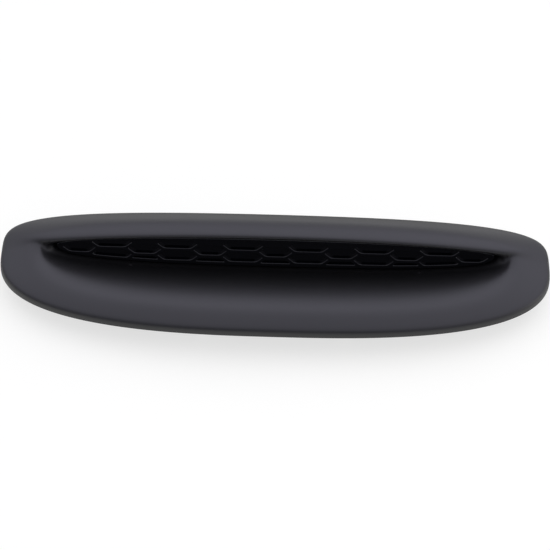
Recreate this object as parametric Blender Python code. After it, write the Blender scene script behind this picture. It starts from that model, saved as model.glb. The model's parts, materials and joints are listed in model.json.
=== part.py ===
"""A long oval hood scoop: moulded surround, honeycomb insert, foam seal, spring clips and screws.

Metres, +Z up. X runs along the scoop, -Y is the front of the car. Shapes are worked out from the
line of the hood, z = 0 at the middle, which falls away towards both ends. The finished part stands
on its lowest clips, with the world's origin on the floor under its middle.
"""

import math
from dataclasses import dataclass
from functools import lru_cache

import bmesh
import bpy
import numpy as np
from mathutils import Matrix, Vector

# Surround, outer form
LENGTH = 0.410
FRONT_REACH = 0.0604
REAR_REACH = 0.0575
WIDEST_Y = 0.0157
HOOD_CROWN = 0.0055
RIM_WALL = 0.0034
RIM_TOP = 0.0055
CREST_HEIGHT = 0.0109
SHOULDER_HEIGHT = 0.0149
LIP_HEIGHT = 0.0290
NOSE_Y = 0.0142
END_BAND = 0.032
MOUTH_LENGTH = LENGTH - 2 * END_BAND
MOUTH_Y = 0.0146
BOWL_FLOOR = -0.0070
BOWL_END_Y = 0.0111
SKIN = 0.0022
FRONT_ROUND = 2.5
FRONT_ROUND_MOUTH = 2.65
REAR_ROUND = 4.4
REAR_ROUND_MOUTH = 2.1

# Honeycomb insert
INSERT_END = 0.010
INSERT_LENGTH = MOUTH_LENGTH - 2 * INSERT_END
INSERT_UP = 0.0096
INSERT_DOWN = 0.0152
INSERT_Y = 0.0174
INSERT_Z = 0.0082
INSERT_LEAN = math.radians(12)
INSERT_ROUND_UP = 2.0
INSERT_ROUND_DOWN = 2.75
INSERT_PLATE = 0.0034
INSERT_FLANGE = 0.0020
INSERT_FLANGE_REACH = 0.0042
INSERT_WALL = 0.0018
FRAME_WIDTH = 0.0032
CELL_MIDDLE = -0.0020
CELL_FLAT_WIDE = 0.0209
CELL_FLAT_NARROW = 0.0157
CELL_SLANT = 0.0061
CELL_HALF_HEIGHT = 0.00537
CELL_RIB = 0.0030
CELL_DEPTH = 0.0018
CELL_SMALLEST = 0.0009

# Throat round the insert
SHADOW_GAP = 0.0012
THROAT_DEPTH = 0.0052
THROAT_FLARE_UP = 0.0020
THROAT_FLARE_DOWN = 0.0006
THROAT_FLARE_END = 0.0052
THROAT_FRONT = 0.0034
THROAT_MIDDLE = 0.0006

# Foam seal under the rim
SEAL_START = 0.0032
SEAL_WIDTH = 0.0045
SEAL_CLEARANCE = 0.0006
SEAL_PROUD = 0.0004

# Fixings below the hood
CLIP_TIP_DEPTH = 0.0185
TOWER_END = 0.057
TOWER_X = (LENGTH / 2 * 0.2537, LENGTH / 2 - TOWER_END)
TOWER_SETBACK_FRONT = FRONT_REACH * 0.298
BLADE_WIDTH = 0.012
BLADE_THICK = 0.0030
TOWER_RIB = 0.0070
TOWER_RIB_THICK = 0.0018
TOWER_WEB = 0.0044
CLIP_SHEET = 0.0007
CLIP_WIDTH = 0.0090
CLIP_SPREAD = 0.0028
CLIP_HEIGHT = 0.0125
CLIP_BENDS = ((0.0, 0.0), (0.25, 0.25), (0.6, 1.0), (0.85, 0.35), (1.0, 0.9))
PAD_X = sum(TOWER_X) / 2
PAD_RADIUS = 0.0042
TOWER_SETBACK_REAR = SEAL_START + SEAL_WIDTH + SEAL_CLEARANCE + PAD_RADIUS
GUSSET_X = (INSERT_LENGTH * 0.0675, INSERT_LENGTH * 0.2331, INSERT_LENGTH * 0.3865)
GUSSET_THICK = 0.0016
GUSSET_DEPTH = 0.0034
GUSSET_SETBACK = 0.0016
FLANGE_CLEARANCE = 0.0008
SCREW_X = (INSERT_LENGTH * 0.1104, INSERT_LENGTH * 0.3313)
SCREW_SHANK = 0.0029
SCREW_HEAD = 0.0066
SCREW_HEAD_THICK = 0.0022
SCREW_LENGTH = 0.0095
SCREW_SOCKET = 0.0034
SCREW_SOCKET_DEPTH = 0.0014
SCREW_CROWN_RADIUS = 0.0024
SCREW_SHOULDER_RADIUS = 0.0032
SCREW_SHOULDER_HEIGHT = 0.0012
SCREW_TIP_RADIUS = 0.0005
BOSS_RADIUS = 0.0034
BOSS_LENGTH = 0.0088
BOSS_OUTSIDE = 0.0012
EAR_RADIUS = 0.0040
EAR_STEP = 0.0006
CATCH_X = (-INSERT_LENGTH * 0.2914, 0.0, INSERT_LENGTH * 0.2914)
CATCH_WIDTH = 0.012
CATCH_THICK = 0.0018
CATCH_HOOK = 0.0016
CATCH_ROOT = 0.0013

# Fits and fineness
GAP = 0.0003
AROUND = 72
SKIN_STEPS = 2
SOLID_NOSE_ROWS = (10, 11)
SEGMENTS = 20
BORE_SIDES = 12
SCREW_SIDES = 16
SOCKET_SIDES = 6
BORDER_POINTS = 64
CUT_PAST = 0.0012
SMOOTH_ANGLE = math.radians(35)


@dataclass(frozen=True)
class Ring:
    """One closed line of the surround's skin, given by shares of the section.

    The *_in shares run from the rim (0) to the throat at the front and to the mouth's edge at the
    ends and rear (1). The *_up values are heights over the hood in metres.
    """

    front_in: float
    end_in: float
    rear_in: float
    front_up: float
    end_up: float
    rear_up: float


@dataclass(frozen=True)
class Finish:
    """Plain look of one material."""

    colour: tuple[float, float, float]
    roughness: float
    metallic: float = 0.0


SATIN_BLACK = Finish((0.020, 0.020, 0.022), 0.42)
GLOSS_BLACK = Finish((0.012, 0.012, 0.014), 0.24)
FOAM = Finish((0.030, 0.030, 0.032), 0.95)
SPRING_STEEL = Finish((0.42, 0.42, 0.44), 0.32, 1.0)
BLACK_STEEL = Finish((0.060, 0.060, 0.065), 0.38, 1.0)


def mix(start: float, end: float, share: float) -> float:
    """Value a share of the way from start to end."""
    return start + (end - start) * share


def section_rings() -> list[Ring]:
    """The skin's lines from the rim's lower edge over crest and lip to the mouth."""
    rise = CREST_HEIGHT - RIM_TOP
    drop = CREST_HEIGHT - BOWL_FLOOR
    end, lip = SHOULDER_HEIGHT, LIP_HEIGHT
    return [
        Ring(0.000, 0.000, 0.000, 0.0, 0.0, 0.0),
        Ring(0.001, 0.003, 0.002, RIM_WALL, RIM_WALL, RIM_WALL),
        Ring(0.014, 0.030, 0.021, RIM_TOP, RIM_TOP, RIM_TOP),
        Ring(0.050, 0.125, 0.092, RIM_TOP + 0.24 * rise, 0.47 * end, 0.296 * lip),
        Ring(0.131, 0.328, 0.254, RIM_TOP + 0.61 * rise, 0.64 * end, 0.505 * lip),
        Ring(0.208, 0.530, 0.450, RIM_TOP + 0.91 * rise, 0.80 * end, 0.722 * lip),
        Ring(0.285, 0.700, 0.635, CREST_HEIGHT, 0.94 * end, 0.888 * lip),
        Ring(0.411, 0.840, 0.800, CREST_HEIGHT - 0.073 * drop, 1.0 * end, 0.967 * lip),
        Ring(0.558, 0.940, 0.992, CREST_HEIGHT - 0.263 * drop, 1.0 * end, 0.980 * lip),
        Ring(0.712, 1.000, 1.055, CREST_HEIGHT - 0.525 * drop, 0.913 * end, 0.940 * lip),
        Ring(0.859, 1.060, 1.050, CREST_HEIGHT - 0.788 * drop, 0.852 * end, 0.840 * lip),
    ]


def hood_drop(x: np.ndarray) -> np.ndarray:
    """How far the hood has fallen at x."""
    return HOOD_CROWN * (x / (LENGTH / 2)) ** 2


def oval(angles: np.ndarray, round_front: float, round_rear: float) -> tuple[np.ndarray, np.ndarray]:
    """Unit oval: x and depth from -1 to 1, squarer as the round value grows past 2."""
    cos, sin = np.cos(angles), np.sin(angles)
    power = np.where(sin < 0, round_front, round_rear)
    reach = (np.abs(cos) ** power + np.abs(sin) ** power) ** (-1 / power)
    return cos * reach, sin * reach


def ring_points(ring: Ring, angles: np.ndarray) -> np.ndarray:
    """Points of one line of the skin."""
    half = LENGTH / 2
    x_unit, depth = oval(
        angles,
        mix(FRONT_ROUND, FRONT_ROUND_MOUTH, min(ring.end_in, 1)),
        mix(REAR_ROUND, REAR_ROUND_MOUTH, min(ring.end_in, 1)),
    )
    x = x_unit * (half - ring.end_in * (half - MOUTH_LENGTH / 2))
    middle = mix(WIDEST_Y, MOUTH_Y, min(ring.end_in, 1))
    front = -FRONT_REACH + ring.front_in * (FRONT_REACH + BOWL_END_Y)
    rear = REAR_REACH - ring.rear_in * (REAR_REACH - NOSE_Y)
    y = middle + np.where(depth < 0, middle - front, rear - middle) * depth
    slope = (ring.rear_up - ring.front_up) / 2
    bow = (ring.rear_up + ring.front_up) / 2 - ring.end_up
    z = ring.end_up + slope * depth + bow * depth**2 - hood_drop(x)
    return np.stack([x, y, z], axis=-1)


def insert_frame() -> Matrix:
    """Frame of the insert's face: x along, y up the face, z out of it."""
    up = Vector((0, math.sin(INSERT_LEAN), math.cos(INSERT_LEAN)))
    out = Vector((0, -math.cos(INSERT_LEAN), math.sin(INSERT_LEAN)))
    frame = Matrix.Identity(4)
    for row in range(3):
        frame[row][1] = up[row]
        frame[row][2] = out[row]
    frame[1][3] = INSERT_Y
    frame[2][3] = INSERT_Z
    return frame


def lens_outline(angles: np.ndarray, grow: float) -> np.ndarray:
    """The insert's outline in its own face, grown by a width all round."""
    x, depth = oval(angles, INSERT_ROUND_DOWN, INSERT_ROUND_UP)
    reach = np.where(depth < 0, INSERT_DOWN, INSERT_UP) + grow
    return np.stack([x * (INSERT_LENGTH / 2 + grow), depth * reach], axis=-1)


def lens_points(angles: np.ndarray, grow: np.ndarray | float, out: float, widen: float = 0) -> np.ndarray:
    """Points of a lens ring in the part's frame, out in front of the insert's face."""
    x, depth = oval(angles, INSERT_ROUND_DOWN, INSERT_ROUND_UP)
    up = depth * (np.where(depth < 0, INSERT_DOWN, INSERT_UP) + grow)
    across = x * (INSERT_LENGTH / 2 + SHADOW_GAP + widen if widen else INSERT_LENGTH / 2 + grow)
    y = INSERT_Y + up * math.sin(INSERT_LEAN) - out * math.cos(INSERT_LEAN)
    z = INSERT_Z + up * math.cos(INSERT_LEAN) + out * math.sin(INSERT_LEAN)
    return np.stack([across, y, z], axis=-1)


def lens_depth_at(x: float, grow: float, side: int) -> float:
    """Height of the grown outline over the face's middle line at x, up (1) or down (-1)."""
    power = INSERT_ROUND_UP if side > 0 else INSERT_ROUND_DOWN
    reach = (INSERT_UP if side > 0 else INSERT_DOWN) + grow
    share = abs(x) / (INSERT_LENGTH / 2 + grow)
    return side * reach * (1 - share**power) ** (1 / power)


def control_rings(angles: np.ndarray) -> np.ndarray:
    """All lines that steer the skin, from the rim to the throat's rear edge."""
    rings = [ring_points(ring, angles) for ring in section_rings()]
    flare = np.where(np.sin(angles) < 0, THROAT_FLARE_DOWN, THROAT_FLARE_UP)
    rings.append(lens_points(angles, SHADOW_GAP + flare, THROAT_FRONT, THROAT_FLARE_END))
    rings.append(lens_points(angles, SHADOW_GAP, THROAT_MIDDLE, THROAT_FLARE_END / 2))
    rings.append(lens_points(angles, SHADOW_GAP, -THROAT_DEPTH))
    return np.array(rings)


def spline_rows(control: np.ndarray, steps: int) -> np.ndarray:
    """Cubic B-spline through the first axis of control, clamped at both ends."""
    padded = np.concatenate([control[:1], control[:1], control, control[-1:], control[-1:]])
    t = np.arange(steps) / steps
    weights = np.stack(
        [(1 - t) ** 3, 3 * t**3 - 6 * t**2 + 4, -3 * t**3 + 3 * t**2 + 3 * t + 1, t**3], axis=-1
    ) / 6
    spans = [np.einsum("sk,kij->sij", weights, padded[i : i + 4]) for i in range(len(padded) - 3)]
    return np.concatenate([*spans, control[-1:]])


def unit(vectors: np.ndarray) -> np.ndarray:
    """Vectors scaled to length one."""
    return vectors / np.linalg.norm(vectors, axis=-1, keepdims=True)


def skin_grid(steps: int) -> tuple[np.ndarray, np.ndarray]:
    """Grid of the visible skin and its outward normals, rows from rim to throat."""
    angles = np.linspace(0, 2 * math.pi, AROUND, endpoint=False)
    points = spline_rows(control_rings(angles), steps)
    along = np.gradient(points, axis=0)
    around = np.roll(points, -1, axis=1) - np.roll(points, 1, axis=1)
    return points, unit(np.cross(around, along))


def inner_grid(steps: int, depth: float) -> np.ndarray:
    """The skin's grid set back by a depth, with its two free edges kept flat."""
    points, normals = skin_grid(steps)
    inner = points - depth * normals
    inner[0, :, 2] = -hood_drop(inner[0, :, 0])
    out = np.array([0, -math.cos(INSERT_LEAN), math.sin(INSERT_LEAN)])
    middle = np.array([0, INSERT_Y, INSERT_Z])
    excess = (inner[-1] - middle) @ out + THROAT_DEPTH
    inner[-1] -= excess[:, None] * out
    return inner


def grid_faces(rows: int, start: int, flip: bool) -> list[tuple[int, ...]]:
    """Quads of a grid whose rows are closed."""
    faces = []
    for row in range(rows - 1):
        for column in range(AROUND):
            following = (column + 1) % AROUND
            quad = (
                start + row * AROUND + column,
                start + row * AROUND + following,
                start + (row + 1) * AROUND + following,
                start + (row + 1) * AROUND + column,
            )
            faces.append(quad[::-1] if flip else quad)
    return faces


def joining_faces(first: int, second: int) -> list[tuple[int, ...]]:
    """Quads between two closed rows that start at the given vertices."""
    faces = []
    for column in range(AROUND):
        following = (column + 1) % AROUND
        faces.append((first + column, first + following, second + following, second + column))
    return faces


def make_mesh(name: str, vertices: np.ndarray, faces: list[tuple[int, ...]]) -> bpy.types.Mesh:
    """Mesh from points and faces."""
    mesh = bpy.data.meshes.new(name)
    mesh.from_pydata([tuple(point) for point in vertices], [], faces)
    mesh.update()
    return mesh


def make_material(name: str, finish: Finish) -> bpy.types.Material:
    """Principled material of a finish."""
    material = bpy.data.materials.new(name)
    material.use_nodes = True
    shader = material.node_tree.nodes["Principled BSDF"]
    shader.inputs["Base Color"].default_value = (*finish.colour, 1.0)
    shader.inputs["Roughness"].default_value = finish.roughness
    shader.inputs["Metallic"].default_value = finish.metallic
    return material


def hood_line() -> bpy.types.Object:
    """Empty on the hood's line that carries every piece above the floor."""
    empty = bpy.data.objects.get("hood_line")
    if empty is None:
        empty = bpy.data.objects.new("hood_line", None)
        empty.location = (0, (FRONT_REACH - REAR_REACH) / 2, CLIP_TIP_DEPTH)
        bpy.context.scene.collection.objects.link(empty)
    return empty


def add_object(name: str, mesh: bpy.types.Mesh, material: bpy.types.Material | None) -> bpy.types.Object:
    """Object of a mesh on the hood's line, shaded smooth but for its sharp edges."""
    if material is not None:
        mesh.materials.clear()
        mesh.materials.append(material)
    mesh.shade_smooth()
    mesh.set_sharp_from_angle(angle=SMOOTH_ANGLE)
    thing = bpy.data.objects.new(name, mesh)
    thing.parent = hood_line()
    bpy.context.scene.collection.objects.link(thing)
    return thing


def add_tool(name: str, mesh: bpy.types.Mesh) -> bpy.types.Object:
    """Hidden solid that a Boolean reads."""
    tool = add_object(name, mesh, None)
    tool.hide_render = True
    tool.display_type = "WIRE"
    return tool


def boolean(target: bpy.types.Object, tool: bpy.types.Object, operation: str) -> None:
    """Exact Boolean of a tool on a target."""
    modifier = target.modifiers.new(tool.name, "BOOLEAN")
    modifier.operation = operation
    modifier.solver = "EXACT"
    modifier.object = tool


def add_prism(build: bmesh.types.BMesh, outline: list[Vector], shift: Vector) -> None:
    """Closed prism of a flat outline carried along a shift, faces out."""
    first = [build.verts.new(point) for point in outline]
    second = [build.verts.new(point + shift) for point in outline]
    count = len(outline)
    faces = [build.faces.new(first), build.faces.new(second[::-1])]
    for index in range(count):
        following = (index + 1) % count
        faces.append(build.faces.new((first[following], first[index], second[index], second[following])))
    bmesh.ops.recalc_face_normals(build, faces=faces)


def add_rod(build: bmesh.types.BMesh, frame: Matrix, radii: list[tuple[float, float]], sides: int) -> None:
    """Turned solid about a frame's z axis: pairs of height and radius, capped at both ends."""
    rows = []
    for height, radius in radii:
        row = []
        for index in range(sides):
            angle = 2 * math.pi * index / sides
            point = Vector((radius * math.cos(angle), radius * math.sin(angle), height))
            row.append(build.verts.new(frame @ point))
        rows.append(row)
    faces = [build.faces.new(rows[0][::-1]), build.faces.new(rows[-1])]
    for lower, upper in zip(rows, rows[1:]):
        for index in range(sides):
            following = (index + 1) % sides
            faces.append(build.faces.new((lower[index], lower[following], upper[following], upper[index])))
    bmesh.ops.recalc_face_normals(build, faces=faces)


def finish_mesh(build: bmesh.types.BMesh, name: str) -> bpy.types.Mesh:
    """Mesh of a bmesh."""
    mesh = bpy.data.meshes.new(name)
    build.to_mesh(mesh)
    build.free()
    return mesh


@lru_cache(maxsize=None)
def skin_line_at(x: float, depth: float) -> list[tuple[float, float]]:
    """The skin set back by a depth, cut across at x: y and z from the front rim round to the rear."""
    half = AROUND // 2
    front, rear = [], []
    for row in inner_grid(SKIN_STEPS, depth):
        if x < row[0, 0]:
            for found, side in ((rear, row[: half + 1]), (front, np.concatenate([row[half:], row[:1]]))):
                along = side[np.argsort(side[:, 0])]
                found.append(tuple(float(np.interp(x, along[:, 0], along[:, axis])) for axis in (1, 2)))
    return front + rear[::-1]


def skin_under(x: float, y: float) -> float:
    """Height of the middle of the skin's thickness over a point of the band."""
    line = skin_line_at(x, SKIN / 2)
    count = len(line) // 2
    side = line[:count] if y < NOSE_Y else line[count:][::-1]
    near = sorted(side[: count // 2])
    return float(np.interp(y, [point[0] for point in near], [point[1] for point in near]))


def add_rooted(build: bmesh.types.BMesh, plan: list[tuple[float, float]], foot: float) -> None:
    """Column of a plan outline, flat at its foot and rooted in the skin's thickness."""
    low = [build.verts.new((x, y, foot)) for x, y in plan]
    high = [build.verts.new((x, y, skin_under(x, y))) for x, y in plan]
    faces = [build.faces.new(low[::-1])]
    middle = build.verts.new(sum((vertex.co for vertex in high), Vector()) / len(high))
    for index in range(len(plan)):
        following = (index + 1) % len(plan)
        faces.append(build.faces.new((low[index], low[following], high[following], high[index])))
        faces.append(build.faces.new((high[index], high[following], middle)))
    bmesh.ops.recalc_face_normals(build, faces=faces)


def rim_y(x: float, edge: int) -> float:
    """The rim's y at x, at the front (-1) or the rear (1)."""
    power = FRONT_ROUND if edge < 0 else REAR_ROUND
    reach = FRONT_REACH + WIDEST_Y if edge < 0 else REAR_REACH - WIDEST_Y
    return WIDEST_Y + edge * reach * (1 - (abs(x) / (LENGTH / 2)) ** power) ** (1 / power)


def set_back(x: float, edge: int) -> float:
    """The y of fixings at x, set back from the rim at the front (-1) or the rear (1)."""
    return rim_y(x, edge) - edge * (TOWER_SETBACK_FRONT if edge < 0 else TOWER_SETBACK_REAR)


def tower_places() -> list[tuple[str, float, float]]:
    """Name and place of each clip tower, set back from the rim at its outer corner."""
    places = []
    corner = BLADE_WIDTH / 2 + TOWER_RIB_THICK
    for side, edge in (("front", -1), ("rear", 1)):
        for hand, sign in (("left", -1), ("right", 1)):
            for place, x in zip(("inner", "outer"), TOWER_X):
                places.append((f"{side}_{hand}_{place}", sign * x, set_back(x + corner, edge)))
    return places


def blade_tip(x: float) -> float:
    """Height of a blade's tip: the clips reach equally far below the hood."""
    outermost = float(hood_drop(np.array(max(TOWER_X))))
    lowest = -CLIP_TIP_DEPTH + CLIP_SHEET + GAP
    return lowest + outermost - float(hood_drop(np.array(x)))


def build_blades(build: bmesh.types.BMesh) -> None:
    """Flat blades that carry the clips."""
    for _, x, y in tower_places():
        right, rear = x + BLADE_WIDTH / 2, y + BLADE_THICK / 2
        left, front = x - BLADE_WIDTH / 2, y - BLADE_THICK / 2
        add_rooted(build, [(left, front), (right, front), (right, rear), (left, rear)], blade_tip(x))


def build_tower_roots(build: bmesh.types.BMesh) -> None:
    """H-shaped roots of the blades: a thicker web between two cross ribs."""
    for _, x, y in tower_places():
        web, rib = TOWER_WEB / 2, TOWER_RIB / 2
        near = BLADE_WIDTH / 2 - TOWER_RIB_THICK / 2
        far = near + TOWER_RIB_THICK
        quarter = [(near, web), (near, rib), (far, rib)]
        plan = [(-across, depth) for across, depth in quarter]
        plan += [(-across, -depth) for across, depth in quarter[::-1]]
        plan += [(across, -depth) for across, depth in quarter]
        plan += [(across, depth) for across, depth in quarter[::-1]]
        foot = blade_tip(x) + CLIP_HEIGHT + GAP
        add_rooted(build, [(x + across, y + depth) for across, depth in plan], foot)


def pad_places() -> list[tuple[float, float]]:
    """Where the datum pads stand."""
    places = []
    for edge in (-1, 1):
        y = set_back(PAD_X + PAD_RADIUS, edge)
        places += [(-PAD_X, y), (PAD_X, y)]
    return places


def build_pads(build: bmesh.types.BMesh) -> None:
    """Round pads whose flat feet stand on the hood."""
    for x, y in pad_places():
        turns = [2 * math.pi * index / SEGMENTS for index in range(SEGMENTS)]
        plan = [(x + PAD_RADIUS * math.cos(turn), y + PAD_RADIUS * math.sin(turn)) for turn in turns]
        add_rooted(build, plan, -float(hood_drop(np.array(PAD_X))))


def build_gussets(build: bmesh.types.BMesh) -> None:
    """Thin webs under the bowl and inside the lip, rooted in the skin's thickness."""
    shift = Vector((GUSSET_THICK, 0, 0))
    for x in [sign * place for place in GUSSET_X for sign in (-1, 1)]:
        line = skin_line_at(x, SKIN / 2)
        count = len(line) // 2
        start, last = count // 3, count - SKIN_STEPS
        bowl, lip = line[start:last], line[-last:-start][::-1]
        bowl_rear, bowl_front = bowl[-1], bowl[0]
        keel = [(bowl_rear[0], bowl_rear[1] - GUSSET_DEPTH), (bowl_front[0], bowl_front[1] - GUSSET_DEPTH)]
        clear_up = lens_depth_at(x, INSERT_FLANGE_REACH, 1) + FLANGE_CLEARANCE
        notch = insert_frame() @ Vector((x, clear_up, GUSSET_SETBACK - THROAT_DEPTH))
        for outline in (bowl + keel, lip + [(notch.y, notch.z)]):
            add_prism(build, [Vector((x - GUSSET_THICK / 2, y, z)) for y, z in outline], shift)


def screw_places() -> list[tuple[str, float, float]]:
    """Name and place of each grille screw in the insert's frame."""
    names = {(-1, 0): "left_inner", (-1, 1): "left_outer", (1, 0): "right_inner", (1, 1): "right_outer"}
    places = []
    for sign in (-1, 1):
        for order, x in enumerate(SCREW_X):
            edge = lens_depth_at(x, SHADOW_GAP + SKIN, -1)
            places.append((names[sign, order], sign * x, edge - BOSS_OUTSIDE))
    return places


def build_bosses(build: bmesh.types.BMesh) -> None:
    """Screw bosses on the throat's lower wall."""
    for _, x, up in screw_places():
        frame = insert_frame() @ Matrix.Translation((x, up, -THROAT_DEPTH))
        add_rod(build, frame, [(GAP, BOSS_RADIUS), (BOSS_LENGTH, BOSS_RADIUS)], SEGMENTS)


def build_boss_bores(build: bmesh.types.BMesh) -> None:
    """Blind bores of the bosses, open to the rear."""
    depth = SCREW_LENGTH - INSERT_FLANGE - EAR_STEP
    for _, x, up in screw_places():
        frame = insert_frame() @ Matrix.Translation((x, up, -THROAT_DEPTH))
        radius = SCREW_SHANK / 2 + GAP
        add_rod(build, frame, [(-CUT_PAST, radius), (depth, radius)], BORE_SIDES)


def build_catches(build: bmesh.types.BMesh) -> None:
    """Hooks over the insert's upper flange, rooted in the throat's upper wall."""
    for x in CATCH_X:
        root = lens_depth_at(x, SHADOW_GAP + SKIN / 2, 1)
        over = lens_depth_at(x, INSERT_FLANGE_REACH, 1) + 2 * GAP
        top, tip = over + CATCH_THICK, over - CATCH_HOOK
        behind = -THROAT_DEPTH - GAP - INSERT_FLANGE - GAP
        rear, front = behind - CATCH_THICK, -THROAT_DEPTH + SKIN
        outline = [
            (front - CATCH_ROOT, root),
            (front, root),
            (front, top),
            (rear, top),
            (rear, tip),
            (behind, tip),
            (behind, over),
            (front - CATCH_ROOT, over),
        ]
        frame = insert_frame()
        points = [frame @ Vector((x - CATCH_WIDTH / 2, up, out)) for out, up in outline]
        add_prism(build, points, frame.to_3x3() @ Vector((CATCH_WIDTH, 0, 0)))


def build_surround(material: bpy.types.Material) -> bpy.types.Object:
    """The moulded surround: lofted shell, webs, towers, pads, bosses and catches."""
    outer, _ = skin_grid(SKIN_STEPS)
    inner = np.delete(inner_grid(1, SKIN), SOLID_NOSE_ROWS, axis=0)
    outer_rows, inner_rows = len(outer), len(inner)
    inner_start = outer_rows * AROUND
    faces = grid_faces(outer_rows, 0, False)
    faces += grid_faces(inner_rows, inner_start, True)
    faces += joining_faces(inner_start, 0)
    faces += joining_faces((outer_rows - 1) * AROUND, inner_start + (inner_rows - 1) * AROUND)
    vertices = np.concatenate([outer.reshape(-1, 3), inner.reshape(-1, 3)])
    surround = add_object("scoop_surround", make_mesh("surround", vertices, faces), material)

    groups = {
        "gussets": build_gussets,
        "blades": build_blades,
        "tower_roots": build_tower_roots,
        "pads": build_pads,
        "bosses": build_bosses,
        "catches": build_catches,
    }
    for name, builder in groups.items():
        build = bmesh.new()
        builder(build)
        boolean(surround, add_tool(name, finish_mesh(build, name)), "UNION")
    build = bmesh.new()
    build_boss_bores(build)
    boolean(surround, add_tool("boss_bores", finish_mesh(build, "boss_bores")), "DIFFERENCE")
    return surround


def clip_polygon(polygon: np.ndarray, point: np.ndarray, inward: np.ndarray) -> np.ndarray:
    """Part of a convex polygon on the inner side of a line."""
    kept = []
    sides = (polygon - point) @ inward
    for index in range(len(polygon)):
        following = (index + 1) % len(polygon)
        if sides[index] >= 0:
            kept.append(polygon[index])
        if (sides[index] >= 0) != (sides[following] >= 0):
            share = sides[index] / (sides[index] - sides[following])
            kept.append(polygon[index] + share * (polygon[following] - polygon[index]))
    return np.array(kept).reshape(-1, 2)


def shrink_polygon(polygon: np.ndarray, inset: float) -> np.ndarray:
    """Convex polygon with every edge moved inwards."""
    result = polygon
    for index in range(len(polygon)):
        edge = polygon[(index + 1) % len(polygon)] - polygon[index]
        length = np.linalg.norm(edge)
        if length < 1e-7 or len(result) < 3:
            continue
        inward = np.array([-edge[1], edge[0]]) / length
        result = clip_polygon(result, polygon[index] + inward * inset, inward)
    return result


def tidy_polygon(polygon: np.ndarray, nearest: float) -> np.ndarray:
    """Polygon without points closer together than a distance."""
    kept = []
    for point in polygon:
        if not kept or np.linalg.norm(point - kept[-1]) > nearest:
            kept.append(point)
    while len(kept) > 1 and np.linalg.norm(kept[0] - kept[-1]) <= nearest:
        kept.pop()
    return np.array(kept).reshape(-1, 2)


def honeycomb_cells() -> list[np.ndarray]:
    """Pocket outlines: stretched hexagons in two alternating widths, cut off by the frame."""
    half_pitch = (CELL_FLAT_WIDE + CELL_FLAT_NARROW) / 2 + CELL_SLANT
    border = lens_outline(np.linspace(0, 2 * math.pi, BORDER_POINTS, endpoint=False), -FRAME_WIDTH)
    cells = []
    columns = int(INSERT_LENGTH / 2 / half_pitch) + 1
    rows = int((INSERT_UP + INSERT_DOWN) / 2 / CELL_HALF_HEIGHT) + 1
    for column in range(-columns, columns + 1):
        flat = CELL_FLAT_NARROW if column % 2 == 0 else CELL_FLAT_WIDE
        for row in range(-rows, rows + 1):
            if (row + column) % 2:
                continue
            centre = np.array([column * half_pitch, CELL_MIDDLE + row * CELL_HALF_HEIGHT])
            tip = flat / 2 + CELL_SLANT
            corners = [(tip, 0), (flat / 2, 1), (-flat / 2, 1), (-tip, 0), (-flat / 2, -1), (flat / 2, -1)]
            hexagon = np.array([centre + (x, y * CELL_HALF_HEIGHT) for x, y in corners])
            pocket = shrink_polygon(hexagon, CELL_RIB / 2)
            for index in range(len(border)):
                start, end = border[index], border[(index + 1) % len(border)]
                edge = unit(end - start)
                if len(pocket):
                    pocket = clip_polygon(pocket, start, np.array([-edge[1], edge[0]]))
            if len(pocket) >= 3 and min(np.ptp(pocket, axis=0)) > CELL_SMALLEST:
                cells.append(tidy_polygon(pocket, CELL_SMALLEST / 8))
    return cells


def build_grille(material: bpy.types.Material) -> bpy.types.Object:
    """The insert: framed plate with blind honeycomb pockets, skirt and rear flange with ears."""
    angles = np.linspace(0, 2 * math.pi, AROUND, endpoint=False)
    back = -THROAT_DEPTH - GAP
    rings = [
        (0.0, 0.0),
        (0.0, back),
        (INSERT_FLANGE_REACH, back),
        (INSERT_FLANGE_REACH, back - INSERT_FLANGE),
        (-INSERT_WALL, back - INSERT_FLANGE),
        (-INSERT_WALL, -INSERT_PLATE),
    ]
    vertices = np.concatenate([lens_points(angles, grow, out) for grow, out in rings])
    last = (len(rings) - 1) * AROUND
    faces = grid_faces(len(rings), 0, True)
    faces.append(tuple(range(AROUND)))
    faces.append(tuple(last + index for index in range(AROUND))[::-1])
    grille = add_object("honeycomb_grille", make_mesh("grille", vertices, faces), material)

    frame = insert_frame()
    build = bmesh.new()
    for _, x, up in screw_places():
        place = frame @ Matrix.Translation((x, up, back - INSERT_FLANGE))
        add_rod(build, place, [(-EAR_STEP, EAR_RADIUS), (INSERT_FLANGE - GAP, EAR_RADIUS)], SEGMENTS)
    boolean(grille, add_tool("ears", finish_mesh(build, "ears")), "UNION")

    build = bmesh.new()
    for _, x, up in screw_places():
        place = frame @ Matrix.Translation((x, up, back - INSERT_FLANGE))
        radius = SCREW_SHANK / 2 + GAP
        add_rod(build, place, [(-CUT_PAST, radius), (INSERT_FLANGE + CUT_PAST, radius)], BORE_SIDES)
    boolean(grille, add_tool("ear_holes", finish_mesh(build, "ear_holes")), "DIFFERENCE")

    build = bmesh.new()
    for cell in honeycomb_cells():
        outline = [frame @ Vector((x, up, -CELL_DEPTH)) for x, up in cell]
        add_prism(build, outline, frame.to_3x3() @ Vector((0, 0, CELL_DEPTH + CUT_PAST)))
    boolean(grille, add_tool("pockets", finish_mesh(build, "pockets")), "DIFFERENCE")
    return grille


def seal_row(under: np.ndarray, reach: float) -> np.ndarray:
    """Line on a closed grid's rows at a distance in from its first row."""
    distance = np.linalg.norm((under - under[0])[..., :2], axis=-1)
    row = np.empty_like(under[0])
    for column in range(AROUND):
        rise = distance[:, column]
        far = int(np.argmax(rise > reach))
        share = (reach - rise[far - 1]) / (rise[far] - rise[far - 1])
        row[column] = mix(under[far - 1, column], under[far, column], share)
    return row


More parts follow.
